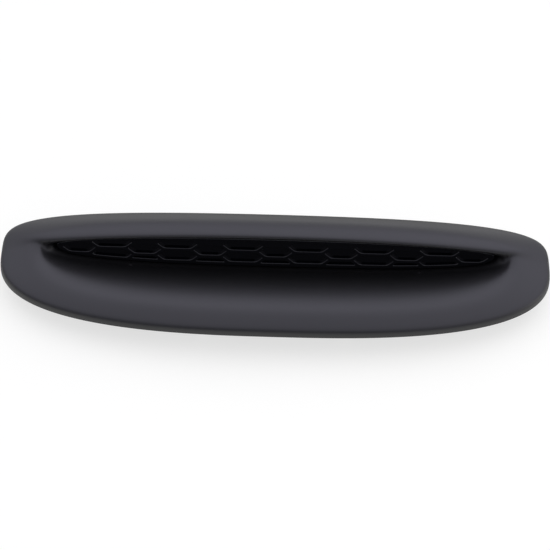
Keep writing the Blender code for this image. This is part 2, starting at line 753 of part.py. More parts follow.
def build_seal(material: bpy.types.Material) -> bpy.types.Object:
    """Foam strip that fills the space between the band's underside and the hood."""
    under = inner_grid(SKIN_STEPS, SKIN + GAP)
    edges = (SEAL_START, SEAL_START + SEAL_WIDTH)
    top = [seal_row(under, reach - SKIN - GAP) for reach in edges]
    foot = []
    for row in top:
        low = row.copy()
        low[:, 2] = -hood_drop(row[:, 0]) - SEAL_PROUD
        foot.append(low)
    vertices = np.concatenate([foot[0], top[0], top[1], foot[1]])
    faces = grid_faces(4, 0, False) + joining_faces(3 * AROUND, 0)
    return add_object("perimeter_seal", make_mesh("seal", vertices, faces), material)


def clip_outline(x: float, y: float) -> list[Vector]:
    """Section of a clip: two springy legs, bowed out, folded under the blade's tip."""
    inner = BLADE_THICK / 2 + GAP
    tip = blade_tip(x) - GAP
    leg = [(inner + CLIP_SPREAD * spread, tip + CLIP_HEIGHT * height) for height, spread in CLIP_BENDS]
    outside = [(across + CLIP_SHEET, up) for across, up in leg]
    outside[0] = (inner + CLIP_SHEET, tip - CLIP_SHEET)
    right = [*outside, *leg[::-1]]
    left = [(-across, up) for across, up in right[::-1]]
    return [Vector((x - CLIP_WIDTH / 2, y + across, up)) for across, up in right + left]


def build_clip(name: str, x: float, y: float, material: bpy.types.Material) -> bpy.types.Object:
    """One folded spring clip on its blade."""
    build = bmesh.new()
    add_prism(build, clip_outline(x, y), Vector((CLIP_WIDTH, 0, 0)))
    return add_object(name, finish_mesh(build, name), material)


def build_screw(name: str, x: float, up: float, material: bpy.types.Material) -> bpy.types.Object:
    """One pan-head screw through an ear into its boss, with a hexagon socket."""
    rear = -THROAT_DEPTH - GAP - INSERT_FLANGE - EAR_STEP - GAP
    place = insert_frame() @ Matrix.Translation((x, up, rear))
    shank, head = SCREW_SHANK / 2, SCREW_HEAD / 2
    reach = SCREW_LENGTH - GAP
    build = bmesh.new()
    profile = [
        (-SCREW_HEAD_THICK, SCREW_CROWN_RADIUS),
        (-SCREW_SHOULDER_HEIGHT, SCREW_SHOULDER_RADIUS),
        (-GAP, head),
        (0, head),
        (0, shank),
        (reach - shank, shank),
        (reach, SCREW_TIP_RADIUS),
    ]
    add_rod(build, place, profile, SCREW_SIDES)
    screw = add_object(name, finish_mesh(build, name), material)
    build = bmesh.new()
    deep = SCREW_SOCKET_DEPTH - SCREW_HEAD_THICK
    socket = [(-SCREW_HEAD_THICK - CUT_PAST, SCREW_SOCKET / 2), (deep, SCREW_SOCKET / 2)]
    add_rod(build, place, socket, SOCKET_SIDES)
    boolean(screw, add_tool(f"{name}_socket", finish_mesh(build, f"{name}_socket")), "DIFFERENCE")
    return screw


def main() -> None:
    """Build every piece."""
    for thing in list(bpy.data.objects):
        bpy.data.objects.remove(thing)
    build_surround(make_material("satin black plastic", SATIN_BLACK))
    build_grille(make_material("gloss black plastic", GLOSS_BLACK))
    build_seal(make_material("black foam", FOAM))
    steel = make_material("spring steel", SPRING_STEEL)
    for place, x, y in tower_places():
        build_clip(f"clip_{place}", x, y, steel)
    black_steel = make_material("black screw steel", BLACK_STEEL)
    for place, x, up in screw_places():
        build_screw(f"screw_{place}", x, up, black_steel)


main()
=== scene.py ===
"""Visual model of a long oval hood scoop: satin surround, honeycomb insert, seal, clips and screws.

Metres, +Z up, X along the scoop, -Y towards the front of the car. Shapes are worked out from the
line of the hood, and HOOD_LINE carries them into the row's frame, whose floor is under the clips.
"""

import json
import logging
import math
from collections.abc import Sequence
from dataclasses import dataclass
from enum import Enum
from functools import cache

import bpy
import numpy as np
from bpy.types import Material, Mesh, Node, NodeSocket, NodeTree, Object
from mathutils import Euler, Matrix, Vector

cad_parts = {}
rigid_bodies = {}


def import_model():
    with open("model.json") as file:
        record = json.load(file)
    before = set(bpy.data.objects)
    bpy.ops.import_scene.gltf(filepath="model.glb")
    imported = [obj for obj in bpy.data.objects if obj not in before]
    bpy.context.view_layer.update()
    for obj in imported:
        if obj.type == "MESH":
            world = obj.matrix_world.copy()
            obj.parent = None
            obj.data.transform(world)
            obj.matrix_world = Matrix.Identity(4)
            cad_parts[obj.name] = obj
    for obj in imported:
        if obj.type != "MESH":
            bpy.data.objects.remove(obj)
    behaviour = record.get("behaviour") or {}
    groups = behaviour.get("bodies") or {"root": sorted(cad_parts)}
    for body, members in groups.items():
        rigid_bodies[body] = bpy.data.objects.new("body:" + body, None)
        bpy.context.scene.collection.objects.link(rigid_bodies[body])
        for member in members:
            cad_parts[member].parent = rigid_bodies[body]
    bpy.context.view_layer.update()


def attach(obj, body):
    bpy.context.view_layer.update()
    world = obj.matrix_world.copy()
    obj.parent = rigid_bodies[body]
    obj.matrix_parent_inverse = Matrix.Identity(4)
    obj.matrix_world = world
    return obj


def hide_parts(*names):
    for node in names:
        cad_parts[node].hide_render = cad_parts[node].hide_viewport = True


Array = np.ndarray
LOG = logging.getLogger("hood_scoop")

HOOD_LINE = np.array([0.0, 0.00145, 0.0185])
GAP = 0.0003
SMOOTH_ANGLE = math.radians(35)
BEVEL_ANGLE = math.radians(40)
DUST_COLOUR = (0.42, 0.41, 0.40, 1.0)


class Edge(Enum):
    """Long side of the scoop: its value is the sign of y."""

    FRONT = -1
    REAR = 1


class Operation(Enum):
    """What an exact Boolean does with its tool."""

    UNION = "UNION"
    DIFFERENCE = "DIFFERENCE"


def mix(start: Array | float, end: Array | float, share: Array | float) -> Array | float:
    """Value a share of the way from start to end."""
    return start + (end - start) * share


def unit(vectors: Array) -> Array:
    """Vectors scaled to length one."""
    return vectors / np.linalg.norm(vectors, axis=-1, keepdims=True)


def turn_angles(count: int) -> Array:
    """Equal angles of one turn, from 0, without the last."""
    return np.linspace(0, 2 * math.pi, count, endpoint=False)


def circle(count: int) -> Array:
    """Points round a flat circle of radius one."""
    turn = turn_angles(count)
    return np.stack([np.cos(turn), np.sin(turn)], axis=-1)


def quarter_round(radius: float) -> list[tuple[float, float]]:
    """Quarter circle that rounds a wall's upper edge, as pairs of width lost and height."""
    bends = np.linspace(0, math.pi / 2, 6)
    return [(-radius * (1 - math.cos(bend)), radius * (math.sin(bend) - 1)) for bend in bends]


def both_hands(reaches: tuple[float, float]) -> list[tuple[str, int, float]]:
    """Name, sign and distance from the middle of an inner and an outer place on either hand."""
    hands, places = (("left", -1), ("right", 1)), ("inner", "outer")
    return [(f"{hand}_{place}", sign, x) for hand, sign in hands for place, x in zip(places, reaches)]


def rgba(colour: Sequence[float], share: float = 1.0) -> tuple[float, ...]:
    """Opaque colour, each channel times a share."""
    return (*[share * channel for channel in colour], 1.0)


def oval(angles: Array, round_front: float, round_rear: float) -> tuple[Array, Array]:
    """Unit superellipse: |x|^p + |depth|^p = 1, with one p for the front half and one for the rear.

    Args:
        angles: Directions from the middle.
        round_front: Power p where depth is negative.
        round_rear: Power p where depth is positive.

    Returns:
        x and depth, each from -1 to 1.
    """
    cos, sin = np.cos(angles), np.sin(angles)
    power = np.where(sin < 0, round_front, round_rear)
    reach = (np.abs(cos) ** power + np.abs(sin) ** power) ** (-1 / power)
    return cos * reach, sin * reach


def spline_rows(control: Array, steps: int) -> Array:
    """Clamped uniform cubic B-spline through the first axis of an array.

    Args:
        control: Control rows, one row per line that steers the surface.
        steps: Rows made from each span.

    Returns:
        Rows of the surface, the first and last on the first and last control row.
    """
    padded = np.concatenate([control[:1], control[:1], control, control[-1:], control[-1:]])
    t = np.arange(steps) / steps
    weights = np.stack(
        [(1 - t) ** 3, 3 * t**3 - 6 * t**2 + 4, -3 * t**3 + 3 * t**2 + 3 * t + 1, t**3], axis=-1
    ) / 6
    windows = np.lib.stride_tricks.sliding_window_view(padded, 4, axis=0)
    rows = np.einsum("sk,ncik->nsci", weights, windows)
    return np.concatenate([rows.reshape(-1, *control.shape[1:]), control[-1:]])


def cut_corners(path: Array, rounds: int) -> Array:
    """Open path rounded by cutting each corner at a quarter of its two legs, a few times over.

    Args:
        path: Corners of the path, its two ends included.
        rounds: How many times over.

    Returns:
        The rounded path, with the same two ends.
    """
    for _ in range(rounds):
        near = mix(path[:-1], path[1:], 0.25)
        far = mix(path[:-1], path[1:], 0.75)
        inner = np.stack([near, far], axis=1).reshape(-1, path.shape[-1])
        path = np.concatenate([path[:1], inner[1:-1], path[-1:]])
    return path


class Shell:
    """Points and faces gathered for one mesh, in the frame of the hood's line."""

    def __init__(self) -> None:
        """Starts with nothing in it."""
        self.points: list[Array] = []
        self.faces: list[list[int]] = []
        self.count = 0

    def add_points(self, points: Array) -> Array:
        """Adds points to the shell.

        Args:
            points: Points in any layout, with x, y and z on the last axis.

        Returns:
            The points' numbers, in the same layout.
        """
        flat = points.reshape(-1, 3)
        numbers = self.count + np.arange(len(flat)).reshape(points.shape[:-1])
        self.points.append(flat)
        self.count += len(flat)
        return numbers

    def join(self, numbers: Array, flip: bool = False) -> None:
        """Quads between rows of point numbers whose columns close on themselves.

        Args:
            numbers: Point numbers, rows by columns. Faces point out where columns run
                anticlockwise seen from the side that the rows run towards.
            flip: Turns the faces round.
        """
        following = np.roll(numbers, -1, axis=1)
        quads = np.stack([numbers[:-1], following[:-1], following[1:], numbers[1:]], axis=-1)
        quads = quads.reshape(-1, 4)
        self.faces.extend((quads[:, ::-1] if flip else quads).tolist())

    def add_tube(self, grid: Array, flip: bool = False) -> None:
        """Closed solid of a grid whose columns close, with a face over each end row.

        Args:
            grid: Points, rows by columns, laid out as for join.
            flip: Turns the faces round.
        """
        numbers = self.add_points(grid)
        self.join(numbers, flip)
        ends = (numbers[0], numbers[-1, ::-1]) if flip else (numbers[0, ::-1], numbers[-1])
        self.faces += [end.tolist() for end in ends]

    def add_prism(self, outline: Array, shift: Array) -> None:
        """Closed solid of a flat outline carried along a shift, with its faces out.

        Args:
            outline: Corners of the outline, either way round.
            shift: How far it is carried, and which way.
        """
        normal = np.cross(outline, np.roll(outline, -1, axis=0)).sum(axis=0)
        ordered = outline if normal @ shift > 0 else outline[::-1]
        self.add_tube(np.stack([ordered, ordered + shift]))

    def mesh(self, name: str) -> Mesh:
        """Mesh of all that was gathered, carried to the row's frame.

        Args:
            name: Name of the mesh.

        Returns:
            The mesh, in no object yet.
        """
        mesh = bpy.data.meshes.new(name)
        mesh.from_pydata((np.concatenate(self.points) + HOOD_LINE).tolist(), [], self.faces)
        mesh.update()
        return mesh

    def piece(self, name: str, material: Material) -> Object:
        """Object in the scene of all that was gathered."""
        return make_piece(name, self.mesh(name), material)


def link(name: str, data: bpy.types.ID) -> Object:
    """New object of a mesh, lamp or camera in the scene.

    Args:
        name: Name of the object.
        data: Its mesh, lamp or camera.

    Returns:
        The object.
    """
    thing = bpy.data.objects.new(name, data)
    bpy.context.scene.collection.objects.link(thing)
    return thing


def make_piece(name: str, mesh: Mesh, material: Material) -> Object:
    """Object of a mesh in the scene, shaded smooth but for its sharp edges.

    Args:
        name: Name of the object.
        mesh: Its mesh.
        material: Finish of the whole mesh.

    Returns:
        The object.
    """
    mesh.materials.clear()
    mesh.materials.append(material)
    mesh.shade_smooth()
    mesh.set_sharp_from_angle(angle=SMOOTH_ANGLE)
    return link(name, mesh)


def work_boolean(target: Mesh, tool: Mesh, operation: Operation) -> Mesh:
    """Mesh of an exact Boolean of two meshes.

    Args:
        target: Mesh that is worked on.
        tool: Mesh that is joined to it or cut out of it.
        operation: Which of the two.

    Returns:
        The new mesh. Nothing of the two helpers stays in the scene.
    """
    helpers = [link("helper", mesh) for mesh in (target, tool)]
    modifier = helpers[0].modifiers.new("work", "BOOLEAN")
    modifier.operation = operation.value
    modifier.solver = "EXACT"
    modifier.object = helpers[1]
    depsgraph = bpy.context.evaluated_depsgraph_get()
    result = bpy.data.meshes.new_from_object(helpers[0].evaluated_get(depsgraph))
    for helper in helpers:
        bpy.data.objects.remove(helper)
    result.name = target.name
    return result


def add_bevel(piece: Object, width: float) -> None:
    """Live bevel on a piece's sharp edges.

    Args:
        piece: Piece whose edges are rounded where they bend by more than BEVEL_ANGLE.
        width: Width of the bevel.
    """
    modifier = piece.modifiers.new("edges", "BEVEL")
    modifier.width = width
    modifier.segments = 2
    modifier.limit_method = "ANGLE"
    modifier.angle_limit = BEVEL_ANGLE


class Graph:
    """Adds and joins the nodes of one node tree."""

    def __init__(self, tree: NodeTree) -> None:
        """Works on the tree that is given."""
        self.tree = tree

    @classmethod
    def of_material(cls, name: str) -> tuple["Graph", Material, Node]:
        """New material whose nodes are to be added.

        Args:
            name: Name of the material.

        Returns:
            Its graph, the material and its Principled shader.
        """
        material = bpy.data.materials.new(name)
        material.use_nodes = True
        return cls(material.node_tree), material, material.node_tree.nodes["Principled BSDF"]

    def feed(self, node: Node, inputs: dict) -> None:
        """Joins sockets to a node's inputs and writes plain values into them.

        Args:
            node: Node that is fed.
            inputs: Socket or plain value for each input, by its name or number.
        """
        for name, value in inputs.items():
            if isinstance(value, NodeSocket):
                self.tree.links.new(value, node.inputs[name])
            else:
                node.inputs[name].default_value = value

    def node(self, kind: str, inputs: dict | None = None, **settings: object) -> Node:
        """Adds a node, sets its properties and feeds its inputs.

        Args:
            kind: Blender's name for the kind of node.
            inputs: What feeds it, as for feed.
            settings: Its properties.

        Returns:
            The node.
        """
        node = self.tree.nodes.new(kind)
        for name, value in settings.items():
            setattr(node, name, value)
        self.feed(node, inputs or {})
        return node

    def place(self, group: NodeTree, inputs: dict) -> bpy.types.bpy_prop_collection:
        """Outputs of a shared group, placed here with values of its own."""
        return self.node("ShaderNodeGroup", inputs, node_tree=group).outputs

    def math(self, operation: str, first: object, second: object = 0.0) -> NodeSocket:
        """Socket of a Math node."""
        return self.node("ShaderNodeMath", {0: first, 1: second}, operation=operation).outputs[0]

    def spread(
        self, value: object, low: float, high: float, to_low: float, to_high: float
    ) -> NodeSocket:
        """Socket of a value spread from one range to another, held inside it."""
        ranges = {"From Min": low, "From Max": high, "To Min": to_low, "To Max": to_high}
        return self.node("ShaderNodeMapRange", {"Value": value, **ranges}).outputs["Result"]

    def blend(self, share: object, first: object, second: object) -> NodeSocket:
        """Socket of a mix of two colours, which a Mix node keeps at inputs 6 and 7 and output 2."""
        inputs = {0: share, 6: first, 7: second}
        return self.node("ShaderNodeMix", inputs, data_type="RGBA").outputs[2]

    def noise(self, vector: object, scale: object, detail: float) -> NodeSocket:
        """Socket of a Noise texture's mask."""
        inputs = {"Vector": vector, "Scale": scale, "Detail": detail}
        return self.node("ShaderNodeTexNoise", inputs).outputs[0]

    def bump(self, height: object) -> NodeSocket:
        """Socket of a normal that follows a height in metres."""
        inputs = {"Height": height, "Strength": 1.0, "Distance": 1.0}
        return self.node("ShaderNodeBump", inputs).outputs[0]


def make_group(name: str, inputs: Sequence[str], outputs: Sequence[str]) -> tuple[Graph, dict, Node]:
    """New shader node group, in which a socket named Vector is a vector and all others are numbers.

    Args:
        name: Name of the group.
        inputs: Names of the inputs.
        outputs: Names of the outputs.

    Returns:
        The group's graph, its inputs as sockets to read, and the node that its results feed.
    """
    tree = bpy.data.node_groups.new(name, "ShaderNodeTree")
    for in_out, labels in (("INPUT", inputs), ("OUTPUT", outputs)):
        for label in labels:
            kind = "NodeSocketVector" if label == "Vector" else "NodeSocketFloat"
            tree.interface.new_socket(label, in_out=in_out, socket_type=kind)
    graph = Graph(tree)
    return graph, graph.node("NodeGroupInput").outputs, graph.node("NodeGroupOutput")


@cache
def build_grain() -> NodeTree:
    """Fine moulded grain: noise plus wider rounded cells.

    Returns:
        Group that gives a height in metres and a mask.
    """
    density, level = 0.55, 0.6
    inputs, outputs = ("Vector", "Scale", "Relief"), ("Height", "Mask")
    graph, given, result = make_group("moulded_grain", inputs, outputs)
    noise = graph.noise(given["Vector"], given["Scale"], 3.0)
    wide = graph.math("MULTIPLY", given["Scale"], density)
    places = {"Vector": given["Vector"], "Scale": wide}
    cells = graph.node("ShaderNodeTexVoronoi", places, feature="SMOOTH_F1").outputs
    mask = graph.math("MULTIPLY", graph.math("ADD", noise, cells["Distance"]), level)
    graph.feed(result, {"Mask": mask, "Height": graph.math("MULTIPLY", mask, given["Relief"])})
    return graph.tree


@cache
def build_drift() -> NodeTree:
    """Slow change over a moulding: broad noise drawn out along the part.

    Returns:
        Group that gives a mask round one half.
    """
    graph, given, result = make_group("slow_drift", ("Vector", "Size", "Contrast"), ("Mask",))
    drawn_out = (0.4, 1.0, 1.0)
    drawn = graph.node("ShaderNodeMapping", {"Vector": given["Vector"], "Scale": drawn_out})
    noise = graph.noise(drawn.outputs[0], graph.math("DIVIDE", 1.0, given["Size"]), 2.0)
    spread = graph.math("MULTIPLY", graph.math("SUBTRACT", noise, 0.5), given["Contrast"])
    graph.feed(result, {"Mask": graph.math("ADD", spread, 0.5)})
    return graph.tree


@cache
def build_dust() -> NodeTree:
    """Thin dust where a surface faces up: the normal's rise times speckled noise.

    Returns:
        Group that gives a mask.
    """
    graph, given, result = make_group("settled_dust", ("Vector", "Amount"), ("Mask",))
    normal = graph.node("ShaderNodeNewGeometry").outputs["Normal"]
    rise = graph.node("ShaderNodeSeparateXYZ", {"Vector": normal}).outputs["Z"]
    facing = graph.spread(rise, 0.4, 1.0, 0.0, 1.0)
    specks = graph.noise(given["Vector"], 900.0, 4.0)
    patchy = graph.spread(specks, 0.45, 0.75, 0.2, 1.0)
    mask = graph.math("MULTIPLY", graph.math("MULTIPLY", facing, patchy), given["Amount"])
    graph.feed(result, {"Mask": mask})
    return graph.tree


@dataclass(frozen=True)
class Moulding:
    """Black moulded plastic or foam: grain, slow drift and a breath of dust.

    Scales are per metre and reliefs in metres. Seen at a grazing angle, grain shades itself, so
    between the two values of grazing (0 faces the camera, 1 is edge on) the specular level falls
    to grazing_specular, where that is lower.
    """

    name: str
    colour: tuple[float, float, float]
    roughness: float
    grain_scale: float
    grain_relief: float
    drift: float = 0.05
    dust: float = 0.02
    specular: float = 0.5
    refraction: float = 1.62
    grazing: tuple[float, float] = (0.72, 0.90)
    grazing_specular: float = 0.5
    grain_change: float = 0.03
    shade: float = 0.14
    drift_size: float = 0.09
    drift_contrast: float = 1.6

    def build(self) -> Material:
        """Builds the material, with the shared effects placed in it.

        Returns:
            The material.
        """
        graph, material, shader = Graph.of_material(self.name)
        vector = graph.node("ShaderNodeTexCoord").outputs["Object"]
        grain_values = {"Scale": self.grain_scale, "Relief": self.grain_relief}
        drift_values = {"Size": self.drift_size, "Contrast": self.drift_contrast}
        grain = graph.place(build_grain(), {"Vector": vector, **grain_values})
        drift = graph.place(build_drift(), {"Vector": vector, **drift_values})
        dust = graph.place(build_dust(), {"Vector": vector, "Amount": self.dust})
        dark, light = rgba(self.colour, 1 - self.shade), rgba(self.colour, 1 + self.shade)
        body = graph.blend(drift["Mask"], dark, light)
        low, high = self.roughness - self.drift, self.roughness + self.drift
        slow = graph.spread(drift["Mask"], 0.0, 1.0, low, high)
        change = self.grain_change
        fine = graph.spread(grain["Mask"], 0.2, 0.9, -change, change)
        facing = graph.node("ShaderNodeLayerWeight", {"Blend": 0.5}).outputs["Facing"]
        least = min(self.specular, self.grazing_specular)
        values = {
            "Base Color": graph.blend(dust["Mask"], body, DUST_COLOUR),
            "Roughness": graph.math("ADD", slow, fine),
            "Normal": graph.bump(grain["Height"]),
            "Specular IOR Level": graph.spread(facing, *self.grazing, self.specular, least),
            "IOR": self.refraction,
        }
        graph.feed(shader, values)
        return material


@dataclass(frozen=True)
class DrawnSteel:
    """Sheet or bar of steel with fine drawn lines along one axis and faint stains."""

    name: str
    colour: tuple[float, float, float]
    roughness: float
    line_scale: tuple[float, float, float]
    line_relief: float = 0.00001
    smoother: float = 0.07
    rougher: float = 0.09
    stain_size: float = 0.004
    stain_contrast: float = 1.4
    stain_shade: float = 0.72

    def build(self) -> Material:
        """Builds the material, with the shared effects placed in it.

        Returns:
            The material.
        """
        graph, material, shader = Graph.of_material(self.name)
        vector = graph.node("ShaderNodeTexCoord").outputs["Object"]
        drawn = graph.node("ShaderNodeMapping", {"Vector": vector, "Scale": self.line_scale})
        lines = graph.noise(drawn.outputs[0], 1.0, 2.0)
        stain_values = {"Size": self.stain_size, "Contrast": self.stain_contrast}
        stains = graph.place(build_drift(), {"Vector": vector, **stain_values})["Mask"]
        stained = rgba(self.colour, self.stain_shade)
        low, high = self.roughness - self.smoother, self.roughness + self.rougher
        values = {
            "Base Color": graph.blend(stains, stained, rgba(self.colour)),
            "Roughness": graph.spread(lines, 0.3, 0.7, low, high),
            "Normal": graph.bump(graph.math("MULTIPLY", lines, self.line_relief)),
            "Metallic": 1.0,
        }
        graph.feed(shader, values)
        return material


SATIN_BLACK = Moulding(
    "satin black plastic", (0.0007, 0.0007, 0.0008), 0.51, 2600.0, 0.000012,
    drift=0.03, dust=0.001, grazing_specular=0.06,
)
GLOSS_BLACK = Moulding(
    "gloss black plastic", (0.0011, 0.0015, 0.0026), 0.10, 3600.0, 0.000001,
    drift=0.02, dust=0.0,
)
BLACK_FOAM = Moulding(
    "black foam", (0.0260, 0.0260, 0.0270), 0.93, 1500.0, 0.00022,
    dust=0.03, specular=0.3,
)
SPRING_STEEL = DrawnSteel("spring steel", (0.46, 0.46, 0.48), 0.32, (400.0, 400.0, 9000.0))
PLATED_STEEL = DrawnSteel("black plated steel", (0.060, 0.060, 0.066), 0.36, (3000.0, 3000.0, 3000.0))


@dataclass(frozen=True)
class Lens:
    """Outline of the honeycomb insert, in a face that leans back from the mouth."""

    length: float = 0.326
    up: float = 0.0096
    down: float = 0.0152
    middle_y: float = 0.0174
    middle_z: float = 0.0082
    lean: float = math.radians(12)
    round_up: float = 2.0
    round_down: float = 2.75

    def axes(self) -> Array:
        """Rows: along the face, up it and out of it."""
        sin, cos = math.sin(self.lean), math.cos(self.lean)
        return np.array([[1.0, 0.0, 0.0], [0.0, sin, cos], [0.0, -cos, sin]])

    def place(self, local: Array) -> Array:
        """Points given along, up and out of the face, in the frame of the hood's line."""
        return np.array([0.0, self.middle_y, self.middle_z]) + local @ self.axes()

    def ring(self, angles: Array, grow: Array | float, out: float, half: float | None = None) -> Array:
        """Outline as a ring in front of or behind the face.

        Args:
            angles: Directions round the outline.
            grow: Width by which it grows, in metres.
            out: Distance in front of the face.
            half: Half length, where it isn't the grown one.

        Returns:
            One point per angle.
        """
        x, depth = oval(angles, self.round_down, self.round_up)
        along = x * (self.length / 2 + grow if half is None else half)
        up = depth * (np.where(depth < 0, self.down, self.up) + grow)
        return self.place(np.stack([along, up, np.full_like(along, out)], axis=-1))

    def turned(
        self, along: float, up: float, profile: Sequence[tuple[float, object]], count: int
    ) -> Array:
        """Surface turned about an axis that stands out of the face.

        Args:
            along: Place of the axis along the face.
            up: Place of the axis up the face.
            profile: Distance out and radius of each ring, the radius one number or one per point.
            count: Points per ring.

        Returns:
            Rings by points.
        """
        rings = []
        for out, radius in profile:
            flat = (along, up) + np.reshape(radius, (-1, 1)) * circle(count)
            rings.append(np.column_stack([flat, np.full(count, out)]))
        return self.place(np.stack(rings))

    def reach_at(self, x: float, grow: float, side: int) -> float:
        """Height of the grown outline over the face's middle line: its superellipse solved at x.

        Args:
            x: Place along the face.
            grow: Width by which the outline grows.
            side: Up (1) or down (-1).

        Returns:
            The height, below zero where it is down.
        """
        power = self.round_up if side > 0 else self.round_down
        reach = (self.up if side > 0 else self.down) + grow
        return side * reach * (1 - (abs(x) / (self.length / 2 + grow)) ** power) ** (1 / power)


@dataclass(frozen=True)
class Ring:
    """One line that steers the skin, as shares of the section and heights over the hood.

    The *_in shares run from the rim (0) to the throat at the front and to the mouth's edge at the
    ends and rear (1).
    """

    front_in: float
    end_in: float
    rear_in: float
    front_up: float
    end_up: float
    rear_up: float


@dataclass(frozen=True)
class Surround:
    """The moulded surround: rim, band, crest, bowl, lip, nose and throat, as one skin."""

    lens: Lens
    length: float = 0.410
    front_reach: float = 0.0604
    rear_reach: float = 0.0575
    widest_y: float = 0.0157
    hood_crown: float = 0.0055
    rim_wall: float = 0.0034
    rim_top: float = 0.0055
    crest: float = 0.0109
    shoulder: float = 0.0149
    lip: float = 0.0290
    nose_y: float = 0.0142
    mouth_length: float = 0.346
    mouth_y: float = 0.0146
    bowl_floor: float = -0.0070
    bowl_end_y: float = 0.0111
    wall: float = 0.0022
    front_round: float = 2.5
    front_round_mouth: float = 2.65
    rear_round: float = 4.4
    rear_round_mouth: float = 2.1
    corner_soft: float = 0.11
    shadow_gap: float = 0.0012
    throat_depth: float = 0.0052
    throat_front: float = 0.0034
    throat_middle: float = 0.0006
    flare_up: float = 0.0020
    flare_down: float = 0.0006
    flare_end: float = 0.0052
    nose_rows: tuple[int, int] = (10, 11)
    band_share: float = 0.6
    around: int = 384
    steps: int = 7

    def hood_drop(self, x: Array | float) -> Array | float:
        """How far the hood has fallen at x: crown times (x over half length) squared."""
        return self.hood_crown * (x / (self.length / 2)) ** 2

    def steering(self) -> list[Ring]:
        """The skin's lines from the rim's foot over crest and lip to the mouth.

        Returns:
            The lines in order. Those on the throat follow in control.
        """
        rise = self.crest - self.rim_top
        drop = self.crest - self.bowl_floor
        end, lip = self.shoulder, self.lip
        return [
            Ring(0.000, 0.000, 0.000, 0.0, 0.0, 0.0),
            Ring(0.001, 0.003, 0.002, self.rim_wall, self.rim_wall, self.rim_wall),
            Ring(0.014, 0.030, 0.021, self.rim_top, self.rim_top, self.rim_top),
            Ring(0.050, 0.125, 0.092, self.rim_top + 0.24 * rise, 0.47 * end, 0.296 * lip),
            Ring(0.131, 0.328, 0.254, self.rim_top + 0.61 * rise, 0.64 * end, 0.505 * lip),
            Ring(0.208, 0.530, 0.450, self.rim_top + 0.91 * rise, 0.80 * end, 0.722 * lip),
            Ring(0.285, 0.700, 0.635, self.crest, 0.94 * end, 0.888 * lip),
            Ring(0.411, 0.840, 0.800, self.crest - 0.073 * drop, 1.0 * end, 0.967 * lip),
            Ring(0.558, 0.940, 0.992, self.crest - 0.263 * drop, 1.0 * end, 0.980 * lip),
            Ring(0.712, 1.000, 1.055, self.crest - 0.525 * drop, 0.913 * end, 0.940 * lip),
            Ring(0.859, 1.060, 1.050, self.crest - 0.788 * drop, 0.852 * end, 0.840 * lip),
        ]

    def ring_points(self, ring: Ring, angles: Array) -> Array:
        """One line of the skin: an oval between rim and mouth, with a height quadratic in depth.

        Its front and rear halves differ in reach. A soft absolute value of depth, the root of
        depth squared plus softness squared, carries one into the other round the ends.

        Args:
            ring: Shares and heights of the line.
            angles: Directions from the middle.

        Returns:
            One point per angle.
        """
        share = min(ring.end_in, 1.0)
        x_unit, depth = oval(
            angles,
            mix(self.front_round, self.front_round_mouth, share),
            mix(self.rear_round, self.rear_round_mouth, share),
        )
        half = self.length / 2
        x = x_unit * (half - ring.end_in * (half - self.mouth_length / 2))
        middle = mix(self.widest_y, self.mouth_y, share)
        front = -self.front_reach + ring.front_in * (self.front_reach + self.bowl_end_y)
        rear = self.rear_reach - ring.rear_in * (self.rear_reach - self.nose_y)
        reach_front, reach_rear = middle - front, rear - middle
        soft = self.corner_soft * share
        bend = (np.sqrt(depth**2 + soft**2) - soft) / (math.sqrt(1 + soft**2) - soft)
        y = middle + ((reach_rear + reach_front) * depth + (reach_rear - reach_front) * bend) / 2
        slope = (ring.rear_up - ring.front_up) / 2
        bow = (ring.rear_up + ring.front_up) / 2 - ring.end_up
        z = ring.end_up + slope * depth + bow * depth**2 - self.hood_drop(x)
        return np.stack([x, y, z], axis=-1)

    def control(self, angles: Array) -> Array:
        """All lines that steer the skin, the last three on the throat round the insert.

        Args:
            angles: Directions from the middle.

        Returns:
            Lines by points.
        """
        rings = [self.ring_points(ring, angles) for ring in self.steering()]
        flare = np.where(np.sin(angles) < 0, self.flare_down, self.flare_up)
        half = self.lens.length / 2 + self.shadow_gap
        rings.append(
            self.lens.ring(angles, self.shadow_gap + flare, self.throat_front, half + self.flare_end)
        )
        rings.append(
            self.lens.ring(angles, self.shadow_gap, self.throat_middle, half + self.flare_end / 2)
        )
        rings.append(self.lens.ring(angles, self.shadow_gap, -self.throat_depth))
        return np.array(rings)

    def outer_grid(self, steps: int, around: int) -> tuple[Array, Array]:
        """Visible skin: the spline of its lines, with normals across its two directions.

        Args:
            steps: Rows made from each span of the spline.
            around: Points per row.

        Returns:
            Points and outward normals, in rows from the rim's foot to the throat's rear.
        """
        points = spline_rows(self.control(turn_angles(around)), steps)
        along = np.gradient(points, axis=0)
        sideways = np.roll(points, -1, axis=1) - np.roll(points, 1, axis=1)
        return points, unit(np.cross(sideways, along))

    def inner_grid(self, steps: int, around: int, depth: float) -> Array:
        """Skin set back along its normals by a depth, with its two free edges kept flat.

        Args:
            steps: Rows made from each span of the spline.
            around: Points per row.
            depth: How far it is set back.

        Returns:
            Points, in rows like those of outer_grid.
        """
        points, normals = self.outer_grid(steps, around)
        inner = points - depth * normals
        inner[0, :, 2] = -self.hood_drop(inner[0, :, 0])
        out = self.lens.axes()[2]
        excess = (inner[-1] - self.lens.place(np.zeros(3))) @ out + self.throat_depth
        inner[-1] -= excess[:, None] * out
        return inner

    def height_over(self, points: Array) -> Array:
        """Height of the middle of the wall over points under the band, by its nearest points.

        Args:
            points: Places as x and y.

        Returns:
            One height per place.
        """
        grid = self.inner_grid(self.steps, self.around // 2, self.wall / 2)
        band = grid[: int(self.band_share * len(grid))].reshape(-1, 3)
        gaps = np.linalg.norm(points[:, None, :2] - band[None, :, :2], axis=-1)
        return band[np.argmin(gaps, axis=1), 2]

